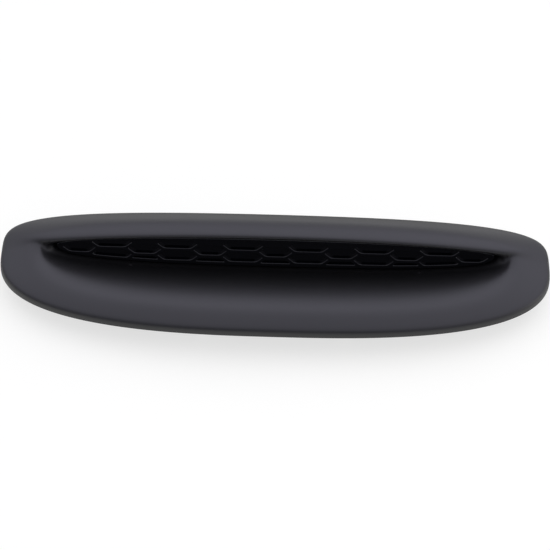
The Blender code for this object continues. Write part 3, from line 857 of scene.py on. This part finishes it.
    def build_skin(self, material: Material) -> Object:
        """Closed shell of the outer skin, the inner skin and the two edges between them.

        The inner skin leaves out the rows of the nose, which is solid there.

        Args:
            material: Finish of the piece.

        Returns:
            The piece.
        """
        outer, _ = self.outer_grid(self.steps, self.around)
        inner = np.delete(self.inner_grid(1, self.around, self.wall), self.nose_rows, axis=0)
        shell = Shell()
        outside, inside = shell.add_points(outer), shell.add_points(inner)
        shell.join(outside)
        shell.join(inside, flip=True)
        shell.join(np.stack([inside[0], outside[0]]))
        shell.join(np.stack([outside[-1], inside[-1]]))
        return shell.piece("surround_skin", material)


@dataclass(frozen=True)
class Fixings:
    """What is moulded under the surround: clip towers, datum pads, webs, bosses and catches."""

    surround: Surround
    tower_x: tuple[float, float] = (0.052, 0.148)
    setback_front: float = 0.0180
    setback_rear: float = 0.0125
    blade_width: float = 0.012
    blade_thick: float = 0.0030
    rib_reach: float = 0.0070
    rib_thick: float = 0.0018
    web_thick: float = 0.0044
    tip_depth: float = 0.0185
    clip_sheet: float = 0.0007
    clip_height: float = 0.0125
    pad_x: float = 0.100
    pad_radius: float = 0.0042
    pad_around: int = 40
    gusset_x: tuple[float, float, float] = (0.022, 0.076, 0.126)
    gusset_thick: float = 0.0016
    gusset_depth: float = 0.0034
    gusset_setback: float = 0.0016
    gusset_steps: int = 2
    gusset_around: int = 144
    flange_reach: float = 0.0042
    flange_thick: float = 0.0020
    flange_clearance: float = 0.0008
    screw_x: tuple[float, float] = (0.036, 0.108)
    boss_radius: float = 0.0031
    boss_bore: float = 0.00175
    boss_length: float = 0.0088
    boss_bottom: float = 0.0015
    boss_outside: float = 0.0012
    boss_around: int = 32
    catch_x: tuple[float, float, float] = (-0.095, 0.0, 0.095)
    catch_width: float = 0.012
    catch_thick: float = 0.0018
    catch_hook: float = 0.0016
    catch_root: float = 0.0013
    edge_round: float = 0.00025

    def set_back(self, x: float, edge: Edge) -> float:
        """Where fixings stand at x: the rim's superellipse, set back.

        Args:
            x: Place along the scoop.
            edge: Side that they are on.

        Returns:
            Their y.
        """
        body, sign = self.surround, edge.value
        power = body.front_round if edge is Edge.FRONT else body.rear_round
        rim = -body.front_reach if edge is Edge.FRONT else body.rear_reach
        share = (1 - (abs(x) / (body.length / 2)) ** power) ** (1 / power)
        reach = abs(rim - body.widest_y) * share
        setback = self.setback_front if edge is Edge.FRONT else self.setback_rear
        return body.widest_y + sign * (reach - setback)

    def towers(self) -> list[tuple[str, float, float]]:
        """Name and place of each clip tower."""
        corner = self.blade_width / 2 + self.rib_thick
        return [
            (f"{edge.name.lower()}_{name}", sign * x, self.set_back(x + corner, edge))
            for edge in Edge
            for name, sign, x in both_hands(self.tower_x)
        ]

    def screws(self) -> list[tuple[str, float, float]]:
        """Name and place of each screw: along and up the insert's face."""
        lens, grow = self.surround.lens, self.surround.shadow_gap + self.surround.wall
        return [
            (name, sign * x, lens.reach_at(x, grow, -1) - self.boss_outside)
            for name, sign, x in both_hands(self.screw_x)
        ]

    def blade_tip(self, x: float) -> float:
        """Height of a blade's tip, equally far below the hood at every tower."""
        outermost = self.surround.hood_drop(max(self.tower_x))
        return -self.tip_depth + self.clip_sheet + GAP + outermost - self.surround.hood_drop(x)

    def add_column(self, shell: Shell, plan: Array, foot: float) -> None:
        """Column of a plan outline from a flat foot up into the skin's wall.

        Args:
            shell: Shell that takes it.
            plan: Corners as x and y, anticlockwise.
            foot: Height of the foot.
        """
        low = np.column_stack([plan, np.full(len(plan), foot)])
        high = np.column_stack([plan, self.surround.height_over(plan)])
        shell.add_tube(np.stack([low, high]))

    def add_towers(self, shell: Shell) -> None:
        """Blades, each on a root of a thicker web between two cross ribs.

        Args:
            shell: Shell that takes them.
        """
        box = np.array([[-1, -1], [1, -1], [1, 1], [-1, 1]]) / 2
        web, rib = self.web_thick / 2, self.rib_reach / 2
        near = self.blade_width / 2 - self.rib_thick / 2
        quarter = np.array([[near, web], [near, rib], [near + self.rib_thick, rib]])
        turns = ((-1, 1, 1), (-1, -1, -1), (1, -1, 1), (1, 1, -1))
        root = np.concatenate([(quarter * (sx, sy))[::order] for sx, sy, order in turns])
        for _, x, y in self.towers():
            tip = self.blade_tip(x)
            self.add_column(shell, (x, y) + box * (self.blade_width, self.blade_thick), tip)
            self.add_column(shell, (x, y) + root, tip + self.clip_height + GAP)

    def add_pads(self, shell: Shell) -> None:
        """Round pads whose flat feet stand on the hood.

        Args:
            shell: Shell that takes them.
        """
        foot = -self.surround.hood_drop(self.pad_x)
        for edge in Edge:
            y = self.set_back(self.pad_x + self.pad_radius, edge)
            for x in (-self.pad_x, self.pad_x):
                plan = (x, y) + self.pad_radius * circle(self.pad_around)
                self.add_column(shell, plan, foot)

    def section_at(self, grid: Array, x: float) -> Array:
        """Section of a set-back skin at x, by linear steps between its points.

        Args:
            grid: Points of the skin, in rows from rim to throat.
            x: Place along the scoop.

        Returns:
            Its front half and its rear half, each as y and z from rim to throat.
        """
        half = grid.shape[1] // 2
        lines = []
        for columns in (np.r_[half : grid.shape[1], 0], np.r_[0 : half + 1]):
            side = grid[:, columns]
            order = np.argsort(side[..., 0], axis=1)
            side = np.take_along_axis(side, order[..., None], axis=1)
            cuts = [[np.interp(x, row[:, 0], row[:, axis]) for axis in (1, 2)] for row in side]
            lines.append(np.array(cuts))
        return np.array(lines)

    def add_gussets(self, shell: Shell) -> None:
        """Thin webs under the bowl and inside the lip, rooted in the skin's wall.

        Args:
            shell: Shell that takes them.
        """
        lens, shift = self.surround.lens, np.array([self.gusset_thick, 0.0, 0.0])
        root = self.surround.wall / 2
        grid = self.surround.inner_grid(self.gusset_steps, self.gusset_around, root)
        for x in [sign * place for place in self.gusset_x for sign in (-1, 1)]:
            front, rear = self.section_at(grid, x)
            first, last = len(grid) // 3, len(grid) - 2
            bowl, lip = front[first:last], rear[first:last]
            keel = bowl[[-1, 0]] - (0.0, self.gusset_depth)
            clear = lens.reach_at(x, self.flange_reach, 1) + self.flange_clearance
            depth = self.gusset_setback - self.surround.throat_depth
            notch = lens.place(np.array([[x, clear, depth]]))[:, 1:]
            for line in (np.concatenate([bowl, keel]), np.concatenate([lip, notch])):
                across = np.full(len(line), x - self.gusset_thick / 2)
                shell.add_prism(np.column_stack([across, line]), shift)

    def add_bosses(self, shell: Shell) -> None:
        """Screw bosses on the throat's lower wall, bored from the rear.

        Args:
            shell: Shell that takes them.
        """
        start = GAP - self.surround.throat_depth
        end = start - GAP + self.boss_length
        outer = [(end, self.boss_radius), (start, self.boss_radius)]
        profile = [*outer, (start, self.boss_bore), (end - self.boss_bottom, self.boss_bore)]
        for _, x, up in self.screws():
            rings = self.surround.lens.turned(x, up, profile, self.boss_around)
            shell.add_tube(rings, flip=True)

    def add_catches(self, shell: Shell) -> None:
        """Hooks over the insert's upper flange, rooted in the throat's upper wall.

        Args:
            shell: Shell that takes them.
        """
        body = self.surround
        for x in self.catch_x:
            root = body.lens.reach_at(x, body.shadow_gap + body.wall / 2, 1)
            over = body.lens.reach_at(x, self.flange_reach, 1) + 2 * GAP
            behind = -body.throat_depth - 2 * GAP - self.flange_thick
            rear, front = behind - self.catch_thick, body.wall - body.throat_depth
            foot = front - self.catch_root
            top, tip = over + self.catch_thick, over - self.catch_hook
            outline = np.array(
                [(foot, root), (front, root), (front, top), (rear, top)]
                + [(rear, tip), (behind, tip), (behind, over), (foot, over)]
            )
            left = np.full(len(outline), x - self.catch_width / 2)
            points = body.lens.place(np.column_stack([left, outline[:, 1], outline[:, 0]]))
            shell.add_prism(points, np.array([self.catch_width, 0.0, 0.0]))

    def build(self, material: Material) -> Object:
        """All fixings as one piece with softened edges.

        Args:
            material: Finish of the piece.

        Returns:
            The piece.
        """
        shell = Shell()
        self.add_towers(shell)
        self.add_pads(shell)
        self.add_gussets(shell)
        self.add_bosses(shell)
        self.add_catches(shell)
        piece = shell.piece("surround_fixings", material)
        add_bevel(piece, self.edge_round)
        return piece


@dataclass(frozen=True)
class Honeycomb:
    """The insert: a framed plate with blind pockets, a skirt, a rear flange and screw ears."""

    fixings: Fixings
    plate: float = 0.0034
    skirt_wall: float = 0.0018
    frame_width: float = 0.0032
    cell_middle: float = -0.0020
    flat_wide: float = 0.0209
    flat_narrow: float = 0.0157
    slant: float = 0.0061
    half_height: float = 0.00537
    rib: float = 0.0030
    pocket_depth: float = 0.0022
    smallest: float = 0.0009
    rib_round: float = 0.00068
    overcut: float = 0.00001
    corner_power: float = 12.0
    border_power: float = 40.0
    ear_radius: float = 0.0040
    ear_step: float = 0.0006
    hole_radius: float = 0.00175
    ear_around: int = 32
    around: int = 288
    pocket_around: int = 72
    spots_across: int = 81
    spots_up: int = 61
    halvings: int = 36
    search_reach: float = 3.0

    def centres(self) -> tuple[Array, Array]:
        """All cells of the pattern, in columns that shift by half a cell.

        Returns:
            Middle of each cell, and the half width of its flat side.
        """
        pitch = (self.flat_wide + self.flat_narrow) / 2 + self.slant
        most = int(self.fixings.surround.lens.length / 2 / pitch) + 1
        columns, rows = np.meshgrid(np.arange(-most, most + 1), np.arange(-3, 4), indexing="ij")
        used = (columns + rows) % 2 == 0
        columns, rows = columns[used], rows[used]
        middles = np.stack([columns * pitch, self.cell_middle + rows * self.half_height], axis=-1)
        return middles, np.where(columns % 2 == 0, self.flat_narrow, self.flat_wide) / 2

    def measure(self, points: Array, middles: Array, flats: Array, inset: float) -> Array:
        """How far points are out in their pocket: 1 on its wall.

        A pocket is a stretched hexagon cut off by the frame. Each of its sides gives a share that
        is 0 in the middle and 1 on the side, the frame's superellipse gives one more, and a high
        power norm of them rounds the corners.

        Args:
            points: Cells by points by (along, up).
            middles: Middle of each hexagon.
            flats: Half width of each hexagon's flat sides.
            inset: Distance of the wall inside the pocket's edge at the face.

        Returns:
            Cells by points.
        """
        along = np.abs(points[..., 0] - middles[:, None, 0])
        up = np.abs(points[..., 1] - middles[:, None, 1])
        wall = self.rib / 2 + inset
        normal = np.array([self.half_height, self.slant]) / math.hypot(self.half_height, self.slant)
        slant_reach = normal[0] * (flats + self.slant) - wall
        flat_share = up / (self.half_height - wall)
        slant_share = (along * normal[0] + up * normal[1]) / slant_reach[:, None]
        power = self.corner_power
        inside = (flat_share**power + slant_share**power) ** (1 / power)
        lens = self.fixings.surround.lens
        low = points[..., 1] < 0
        reach = np.where(low, lens.down, lens.up) - self.frame_width - inset
        roundness = np.where(low, lens.round_down, lens.round_up)
        across = np.abs(points[..., 0]) / (lens.length / 2 - self.frame_width - inset)
        rise = np.abs(points[..., 1] / reach)
        framed = (across**roundness + rise**roundness) ** (1 / roundness)
        return (inside**self.border_power + framed**self.border_power) ** (1 / self.border_power)

    def pocket_rings(self) -> Array:
        """Rings of every pocket from its floor to above the face.

        From the middle of each pocket, rays go out on an ellipse of the pocket's own size, and
        halving the step finds where each ray meets the wall. Rib edges are quarter circles.

        Returns:
            Cells by rings by points by (along, up, out).
        """
        middles, flats = self.centres()
        size = np.stack([flats + self.slant, np.full_like(flats, self.half_height)], axis=-1)
        lines = [np.linspace(-1, 1, count) for count in (self.spots_across, self.spots_up)]
        spots = np.stack(np.meshgrid(*lines), axis=-1).reshape(-1, 2)
        cloud = middles[:, None] + spots * size[:, None]
        inside = self.measure(cloud, middles, flats, 0.0) < 1
        low = np.where(inside[..., None], cloud, np.inf).min(axis=1)
        high = np.where(inside[..., None], cloud, -np.inf).max(axis=1)
        kept = np.all(high - low > 2 * self.smallest, axis=1)
        middles, flats, inside, cloud = middles[kept], flats[kept], inside[kept], cloud[kept]
        low, high = low[kept], high[kept]
        centre = (cloud * inside[..., None]).sum(axis=1) / inside.sum(axis=1)[:, None]
        rays = circle(self.pocket_around) * ((high - low) / 2)[:, None]
        rim = [(inset, out - self.overcut) for inset, out in quarter_round(self.rib_round)]
        rings = []
        for inset, out in [(0.0, -self.pocket_depth), *rim, (-self.rib_round, GAP * 2)]:
            near = np.zeros(rays.shape[:2])
            far = np.full_like(near, self.search_reach)
            for _ in range(self.halvings):
                half = (near + far) / 2
                tried = centre[:, None] + rays * half[..., None]
                outside = self.measure(tried, middles, flats, inset) > 1
                near, far = np.where(outside, near, half), np.where(outside, half, far)
            flat = centre[:, None] + rays * near[..., None]
            rings.append(np.concatenate([flat, np.full((*near.shape, 1), out)], axis=-1))
        return np.stack(rings, axis=1)

    def build(self, material: Material) -> Object:
        """The insert's plate and skirt, with ears joined on and holes and pockets cut out.

        Args:
            material: Finish of the piece.

        Returns:
            The piece.
        """
        body, lens = self.fixings.surround, self.fixings.surround.lens
        back = -body.throat_depth - GAP
        flange, behind = self.fixings.flange_reach, back - self.fixings.flange_thick
        section = [*quarter_round(self.rib_round)[::-1], (0.0, back), (flange, back)]
        section += [(flange, behind), (-self.skirt_wall, behind), (-self.skirt_wall, -self.plate)]
        shell = Shell()
        angles = turn_angles(self.around)
        rings = np.stack([lens.ring(angles, grow, out) for grow, out in section])
        shell.add_tube(rings, flip=True)
        mesh = shell.mesh("honeycomb_insert")

        ears, holes, pockets = Shell(), Shell(), Shell()
        ear = [(behind - self.ear_step, self.ear_radius), (back - GAP, self.ear_radius)]
        hole = [(behind - 4 * GAP, self.hole_radius), (back + 4 * GAP, self.hole_radius)]
        for _, x, up in self.fixings.screws():
            ears.add_tube(lens.turned(x, up, ear, self.ear_around))
            holes.add_tube(lens.turned(x, up, hole, self.ear_around))
        for pocket in self.pocket_rings():
            pockets.add_tube(lens.place(pocket))
        mesh = work_boolean(mesh, ears.mesh("ears"), Operation.UNION)
        for tool in (holes.mesh("holes"), pockets.mesh("pockets")):
            mesh = work_boolean(mesh, tool, Operation.DIFFERENCE)
        return make_piece("honeycomb_insert", mesh, material)


@dataclass(frozen=True)
class FoamSeal:
    """Foam strip between the band's underside and the hood."""

    surround: Surround
    start: float = 0.0032
    end: float = 0.0077
    proud: float = 0.0004
    foot: tuple[tuple[float, float], ...] = (
        (0.0, 0.0009), (0.12, 0.0002), (0.3, 0.0), (0.7, 0.0), (0.88, 0.0002), (1.0, 0.0009),
    )
    top_rows: int = 5
    steps: int = 4
    around: int = 288

    def line(self, under: Array, reach: float) -> Array:
        """Line on a set-back skin at a distance in from its rim.

        Args:
            under: Points of the skin, in rows from the rim.
            reach: Distance in from the rim, seen from above.

        Returns:
            One point per column.
        """
        distance = np.linalg.norm((under - under[0])[..., :2], axis=-1)
        far = np.argmax(distance > reach, axis=0)
        columns = np.arange(under.shape[1])
        first, second = distance[far - 1, columns], distance[far, columns]
        share = ((reach - first) / (second - first))[:, None]
        return mix(under[far - 1, columns], under[far, columns], share)

    def build(self, material: Material) -> Object:
        """Closed strip: its top follows the skin, and its foot is rounded.

        Args:
            material: Finish of the piece.

        Returns:
            The piece.
        """
        body = self.surround
        inset = body.wall + GAP
        under = body.inner_grid(self.steps, self.around, inset)
        reaches = np.linspace(self.start, self.end, self.top_rows)
        top = [self.line(under, reach - inset) for reach in reaches]
        foot = []
        for share, lift in self.foot:
            row = mix(top[0], top[-1], share)
            row[:, 2] = lift - self.proud - body.hood_drop(row[:, 0])
            foot.append(row)
        shell = Shell()
        numbers = shell.add_points(np.array([*foot[::-1], *top, foot[-1]])[:-1])
        shell.join(np.concatenate([numbers, numbers[:1]]))
        return shell.piece("foam_seal", material)


@dataclass(frozen=True)
class SpringClips:
    """Folded spring-steel clips on the blades of the clip towers."""

    fixings: Fixings
    width: float = 0.0090
    spread: float = 0.0028
    fold_share: float = 0.4
    bends: tuple[tuple[float, float], ...] = (
        (1.0, 0.9), (0.85, 0.35), (0.6, 1.0), (0.25, 0.25), (0.04, 0.0),
    )
    edge_round: float = 0.00012

    def path(self) -> Array:
        """Middle of the sheet: one leg, the fold and the other leg, with rounded corners.

        Returns:
            Points across and up from the blade's tip.
        """
        half_sheet, height = self.fixings.clip_sheet / 2, self.fixings.clip_height
        inner = self.fixings.blade_thick / 2 + GAP + half_sheet
        leg = np.array([(inner + self.spread * out, height * up) for up, out in self.bends])
        fold = np.array([(inner, -half_sheet), (self.fold_share * inner, -half_sheet)])
        side = np.concatenate([leg, fold])
        other = side[::-1] * (-1, 1)
        return cut_corners(np.concatenate([side, other]), 2)

    def build(self, name: str, x: float, y: float, material: Material) -> Object:
        """One clip: the sheet's rectangle carried along its path.

        Args:
            name: Which tower it is on.
            x: Place of the tower along the scoop.
            y: Place of the tower across it.
            material: Finish of the piece.

        Returns:
            The piece.
        """
        path = self.path()
        ahead = unit(np.gradient(path, axis=0))
        normal = np.stack([-ahead[:, 1], ahead[:, 0]], axis=-1) * self.fixings.clip_sheet / 2
        tip = self.fixings.blade_tip(x) - GAP
        rows = []
        for side, hand in ((-1, -1), (1, -1), (1, 1), (-1, 1)):
            edge = path + side * normal
            across = np.full(len(edge), x + hand * self.width / 2)
            rows.append(np.column_stack([across, edge + (y, tip)]))
        shell = Shell()
        shell.add_tube(np.stack(rows, axis=1))
        piece = shell.piece(f"spring_clip_{name}", material)
        add_bevel(piece, self.edge_round)
        return piece


@dataclass(frozen=True)
class PanScrews:
    """Pan-head screws with a hexagon socket, through the insert's ears into the bosses."""

    fixings: Fixings
    honeycomb: Honeycomb
    shank: float = 0.00145
    head: float = 0.0033
    crown: float = 0.0024
    shoulder: float = 0.0032
    shoulder_height: float = 0.0012
    head_thick: float = 0.0022
    length: float = 0.0095
    socket: float = 0.0017
    socket_depth: float = 0.0014
    edge_round: float = 0.0001
    point: float = 0.0005
    around: int = 48

    def build(self, name: str, along: float, up: float, material: Material) -> Object:
        """One screw, turned about its axis. Inside the socket the radius is a hexagon's.

        Args:
            name: Which of the four it is.
            along: Place of its axis along the insert's face.
            up: Place of its axis up that face.
            material: Finish of the piece.

        Returns:
            The piece.
        """
        body = self.fixings.surround
        rear = -body.throat_depth - 2 * GAP - self.fixings.flange_thick - self.honeycomb.ear_step
        sixth = math.pi / 3
        from_flat = (turn_angles(self.around) + sixth / 2) % sixth - sixth / 2
        hexagon = math.cos(sixth / 2) / np.cos(from_flat)
        top, edge = -self.head_thick, -self.shoulder_height
        reach = self.length - GAP
        swell = (self.crown + self.shoulder) / 2 + self.edge_round
        profile = [
            (top + self.socket_depth, self.socket * hexagon),
            (top + self.edge_round, self.socket * hexagon),
            (top, self.socket * hexagon + self.edge_round),
            (top, self.crown),
            ((top + edge) / 2 - 2 * self.edge_round, swell),
            (edge, self.shoulder),
            (-GAP, self.head),
            (0.0, self.head),
            (0.0, self.shank),
            (reach - self.shank, self.shank),
            (reach, self.point),
        ]
        placed = [(rear + out, radius) for out, radius in profile]
        shell = Shell()
        shell.add_tube(body.lens.turned(along, up, placed, self.around))
        return shell.piece(f"pan_screw_{name}", material)


@dataclass(frozen=True)
class SoftBox:
    """Rectangular lamp that faces the object. Its radiance is what a mirror would show of it."""

    name: str
    centre: tuple[float, float, float]
    size: tuple[float, float]
    radiance: float
    colour: tuple[float, float, float] = (1.0, 1.0, 1.0)

    def build(self) -> None:
        """Puts the lamp in the scene, with the power that gives its radiance."""
        data = bpy.data.lights.new(self.name, "AREA")
        data.shape = "RECTANGLE"
        data.size, data.size_y = self.size
        data.energy = self.radiance * math.pi * self.size[0] * self.size[1]
        data.color = self.colour
        lamp = link(self.name, data)
        lamp.location = self.centre
        aim = Vector(HOOD_LINE) - Vector(self.centre)
        lamp.rotation_euler = aim.to_track_quat("-Z", "Y").to_euler()


@dataclass(frozen=True)
class Studio:
    """Pale floor, soft lamps and the camera of the photo."""

    lamps: Sequence[SoftBox] = (
        SoftBox("side_right", (1.5, -0.05, 0.36), (0.7, 0.36), 4.6, (1.0, 0.98, 1.0)),
        SoftBox("side_left", (-1.5, -0.15, 0.28), (0.7, 0.30), 0.9, (1.0, 0.98, 1.0)),
    )
    tent_colour: tuple[float, float, float] = (0.93, 0.92, 1.09)
    tent: tuple[tuple[float, float], ...] = (
        (0.0, 0.20), (12.0, 0.30), (19.0, 0.90), (34.0, 1.58), (51.0, 1.74), (71.0, 1.40),
        (95.0, 0.98), (121.0, 0.60), (146.0, 0.42), (180.0, 0.48),
    )
    tent_side: float = 0.28
    tent_side_from: tuple[float, float] = (0.7, 0.9)
    tent_lean: float = 0.12
    hole: tuple[float, float] = (math.radians(9), math.radians(16))
    hole_share: float = 0.1
    floor_size: float = 40.0
    floor_colour: tuple[float, float, float] = (0.36, 0.364, 0.31)
    floor_lift: float = 0.68
    elevation: float = math.radians(48)
    distance: float = 1.6
    roll: float = math.radians(1.594)
    focal: float = 141.3
    sensor: float = 36.0

    def towards_camera(self) -> tuple[float, float, float]:
        """Direction from the object to the camera."""
        return 0.0, -math.cos(self.elevation), math.sin(self.elevation)

    def build_world(self) -> None:
        """Light tent, strongest over the rear, weaker at the sides, with a hole for the camera.

        Its strength follows the angle from the rear horizon over the top to the front. To the
        right it is a little stronger. Between the two values of tent_side_from, on the way to
        either side, it falls to the strength of the sides.
        """
        world = bpy.data.worlds.new("studio")
        world.use_nodes = True
        graph = Graph(world.node_tree)
        direction = graph.node("ShaderNodeTexCoord").outputs["Generated"]
        axes = graph.node("ShaderNodeSeparateXYZ", {"Vector": direction}).outputs
        turn = graph.math("DIVIDE", graph.math("ARCTAN2", axes["Z"], axes["Y"]), math.pi)
        brightest = max(value for _, value in self.tent)
        ramp = graph.node("ShaderNodeValToRGB", {"Fac": turn})
        stops = ramp.color_ramp.elements
        while len(stops) < len(self.tent):
            stops.new(0.5)
        for stop, (degrees, value) in zip(stops, self.tent):
            stop.position = degrees / 180
            stop.color = (*[value / brightest] * 3, 1.0)
        lean = graph.math("ADD", graph.math("MULTIPLY", axes["X"], self.tent_lean), 1.0)
        profile = graph.math("MULTIPLY", graph.math("MULTIPLY", ramp.outputs[0], brightest), lean)
        side = graph.spread(graph.math("ABSOLUTE", axes["X"]), *self.tent_side_from, 0.0, 1.0)
        gap = graph.math("SUBTRACT", self.tent_side, profile)
        strength = graph.math("ADD", profile, graph.math("MULTIPLY", gap, side))
        sides = {0: direction, 1: self.towards_camera()}
        near = graph.node("ShaderNodeVectorMath", sides, operation="DOT_PRODUCT").outputs["Value"]
        inner, outer = (math.cos(angle) for angle in self.hole)
        hole = graph.spread(near, outer, inner, 1.0, self.hole_share)
        strength = graph.math("MULTIPLY", strength, hole)
        background = world.node_tree.nodes["Background"]
        graph.feed(background, {"Color": rgba(self.tent_colour), "Strength": strength})
        bpy.context.scene.world = world

    def build_floor(self) -> Object:
        """Flat matt floor at the foot of the clips, lifted to white where it is seen or mirrored.

        From below it is clear, so that the underside can be looked at.

        Returns:
            The floor.
        """
        graph, material, shader = Graph.of_material("studio floor")
        path = graph.node("ShaderNodeLightPath").outputs
        mirrored = graph.math("MAXIMUM", path["Is Glossy Ray"], path["Is Transmission Ray"])
        seen = graph.math("MAXIMUM", path["Is Camera Ray"], mirrored)
        below = graph.node("ShaderNodeNewGeometry").outputs["Backfacing"]
        values = {
            "Base Color": rgba(self.floor_colour),
            "Roughness": 0.9,
            "Specular IOR Level": 0.1,
            "Emission Color": (1.0, 1.0, 1.0, 1.0),
            "Emission Strength": graph.math("MULTIPLY", seen, self.floor_lift),
            "Alpha": graph.math("SUBTRACT", 1.0, below),
        }
        graph.feed(shader, values)
        half = self.floor_size / 2
        corners = [(-half, -half, 0), (half, -half, 0), (half, half, 0), (-half, half, 0)]
        mesh = bpy.data.meshes.new("studio_floor")
        mesh.from_pydata(corners, [], [range(4)])
        return make_piece("studio_floor", mesh, material)

    def build_camera(self) -> None:
        """Camera at the photo's angle: 48 degrees up in front of the mouth, rolled a little."""
        data = bpy.data.cameras.new("camera")
        data.sensor_width = self.sensor
        data.lens = self.focal
        camera = link("camera", data)
        camera.location = Vector(HOOD_LINE) + Vector(self.towards_camera()) * self.distance
        level = Euler((math.pi / 2 - self.elevation, 0.0, 0.0)).to_matrix()
        roll = Euler((0.0, 0.0, self.roll)).to_matrix()
        camera.rotation_euler = (level @ roll).to_euler()
        bpy.context.scene.camera = camera

    def build(self) -> None:
        """The whole studio."""
        bpy.context.scene.view_settings.view_transform = "Standard"
        self.build_world()
        self.build_floor()
        for lamp in self.lamps:
            lamp.build()
        self.build_camera()


class Scoop:
    """The whole object: builds each piece, lets it ride on the body and names its finish."""

    def take(self, piece: Object, node: str | None = None) -> None:
        """Puts a piece on the body.

        Args:
            piece: Finished piece.
            node: Node whose place it takes, if it takes one.
        """
        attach(piece, "root")
        if node is not None:
            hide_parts(node)
        LOG.info("%s: %d faces", piece.name, len(piece.data.polygons))

    def build(self) -> None:
        """All pieces in order."""
        satin = SATIN_BLACK.build()
        surround = Surround(Lens())
        fixings = Fixings(surround)
        honeycomb = Honeycomb(fixings)
        self.take(surround.build_skin(satin), "scoop_surround")
        self.take(fixings.build(satin))
        self.take(honeycomb.build(GLOSS_BLACK.build()), "honeycomb_grille")
        self.take(FoamSeal(surround).build(BLACK_FOAM.build()), "perimeter_seal")
        spring = SPRING_STEEL.build()
        clips = SpringClips(fixings)
        for name, x, y in fixings.towers():
            self.take(clips.build(name, x, y, spring), f"clip_{name}")
        plated = PLATED_STEEL.build()
        screws = PanScrews(fixings, honeycomb)
        for name, along, up in fixings.screws():
            self.take(screws.build(name, along, up, plated), f"screw_{name}")


def main() -> None:
    """Loads the frame and builds the object and the studio round it."""
    logging.basicConfig(level=logging.INFO, format="%(name)s: %(message)s")
    for thing in list(bpy.data.objects):
        bpy.data.objects.remove(thing)
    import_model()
    Scoop().build()
    Studio().build()


if __name__ == "__main__":
    main()
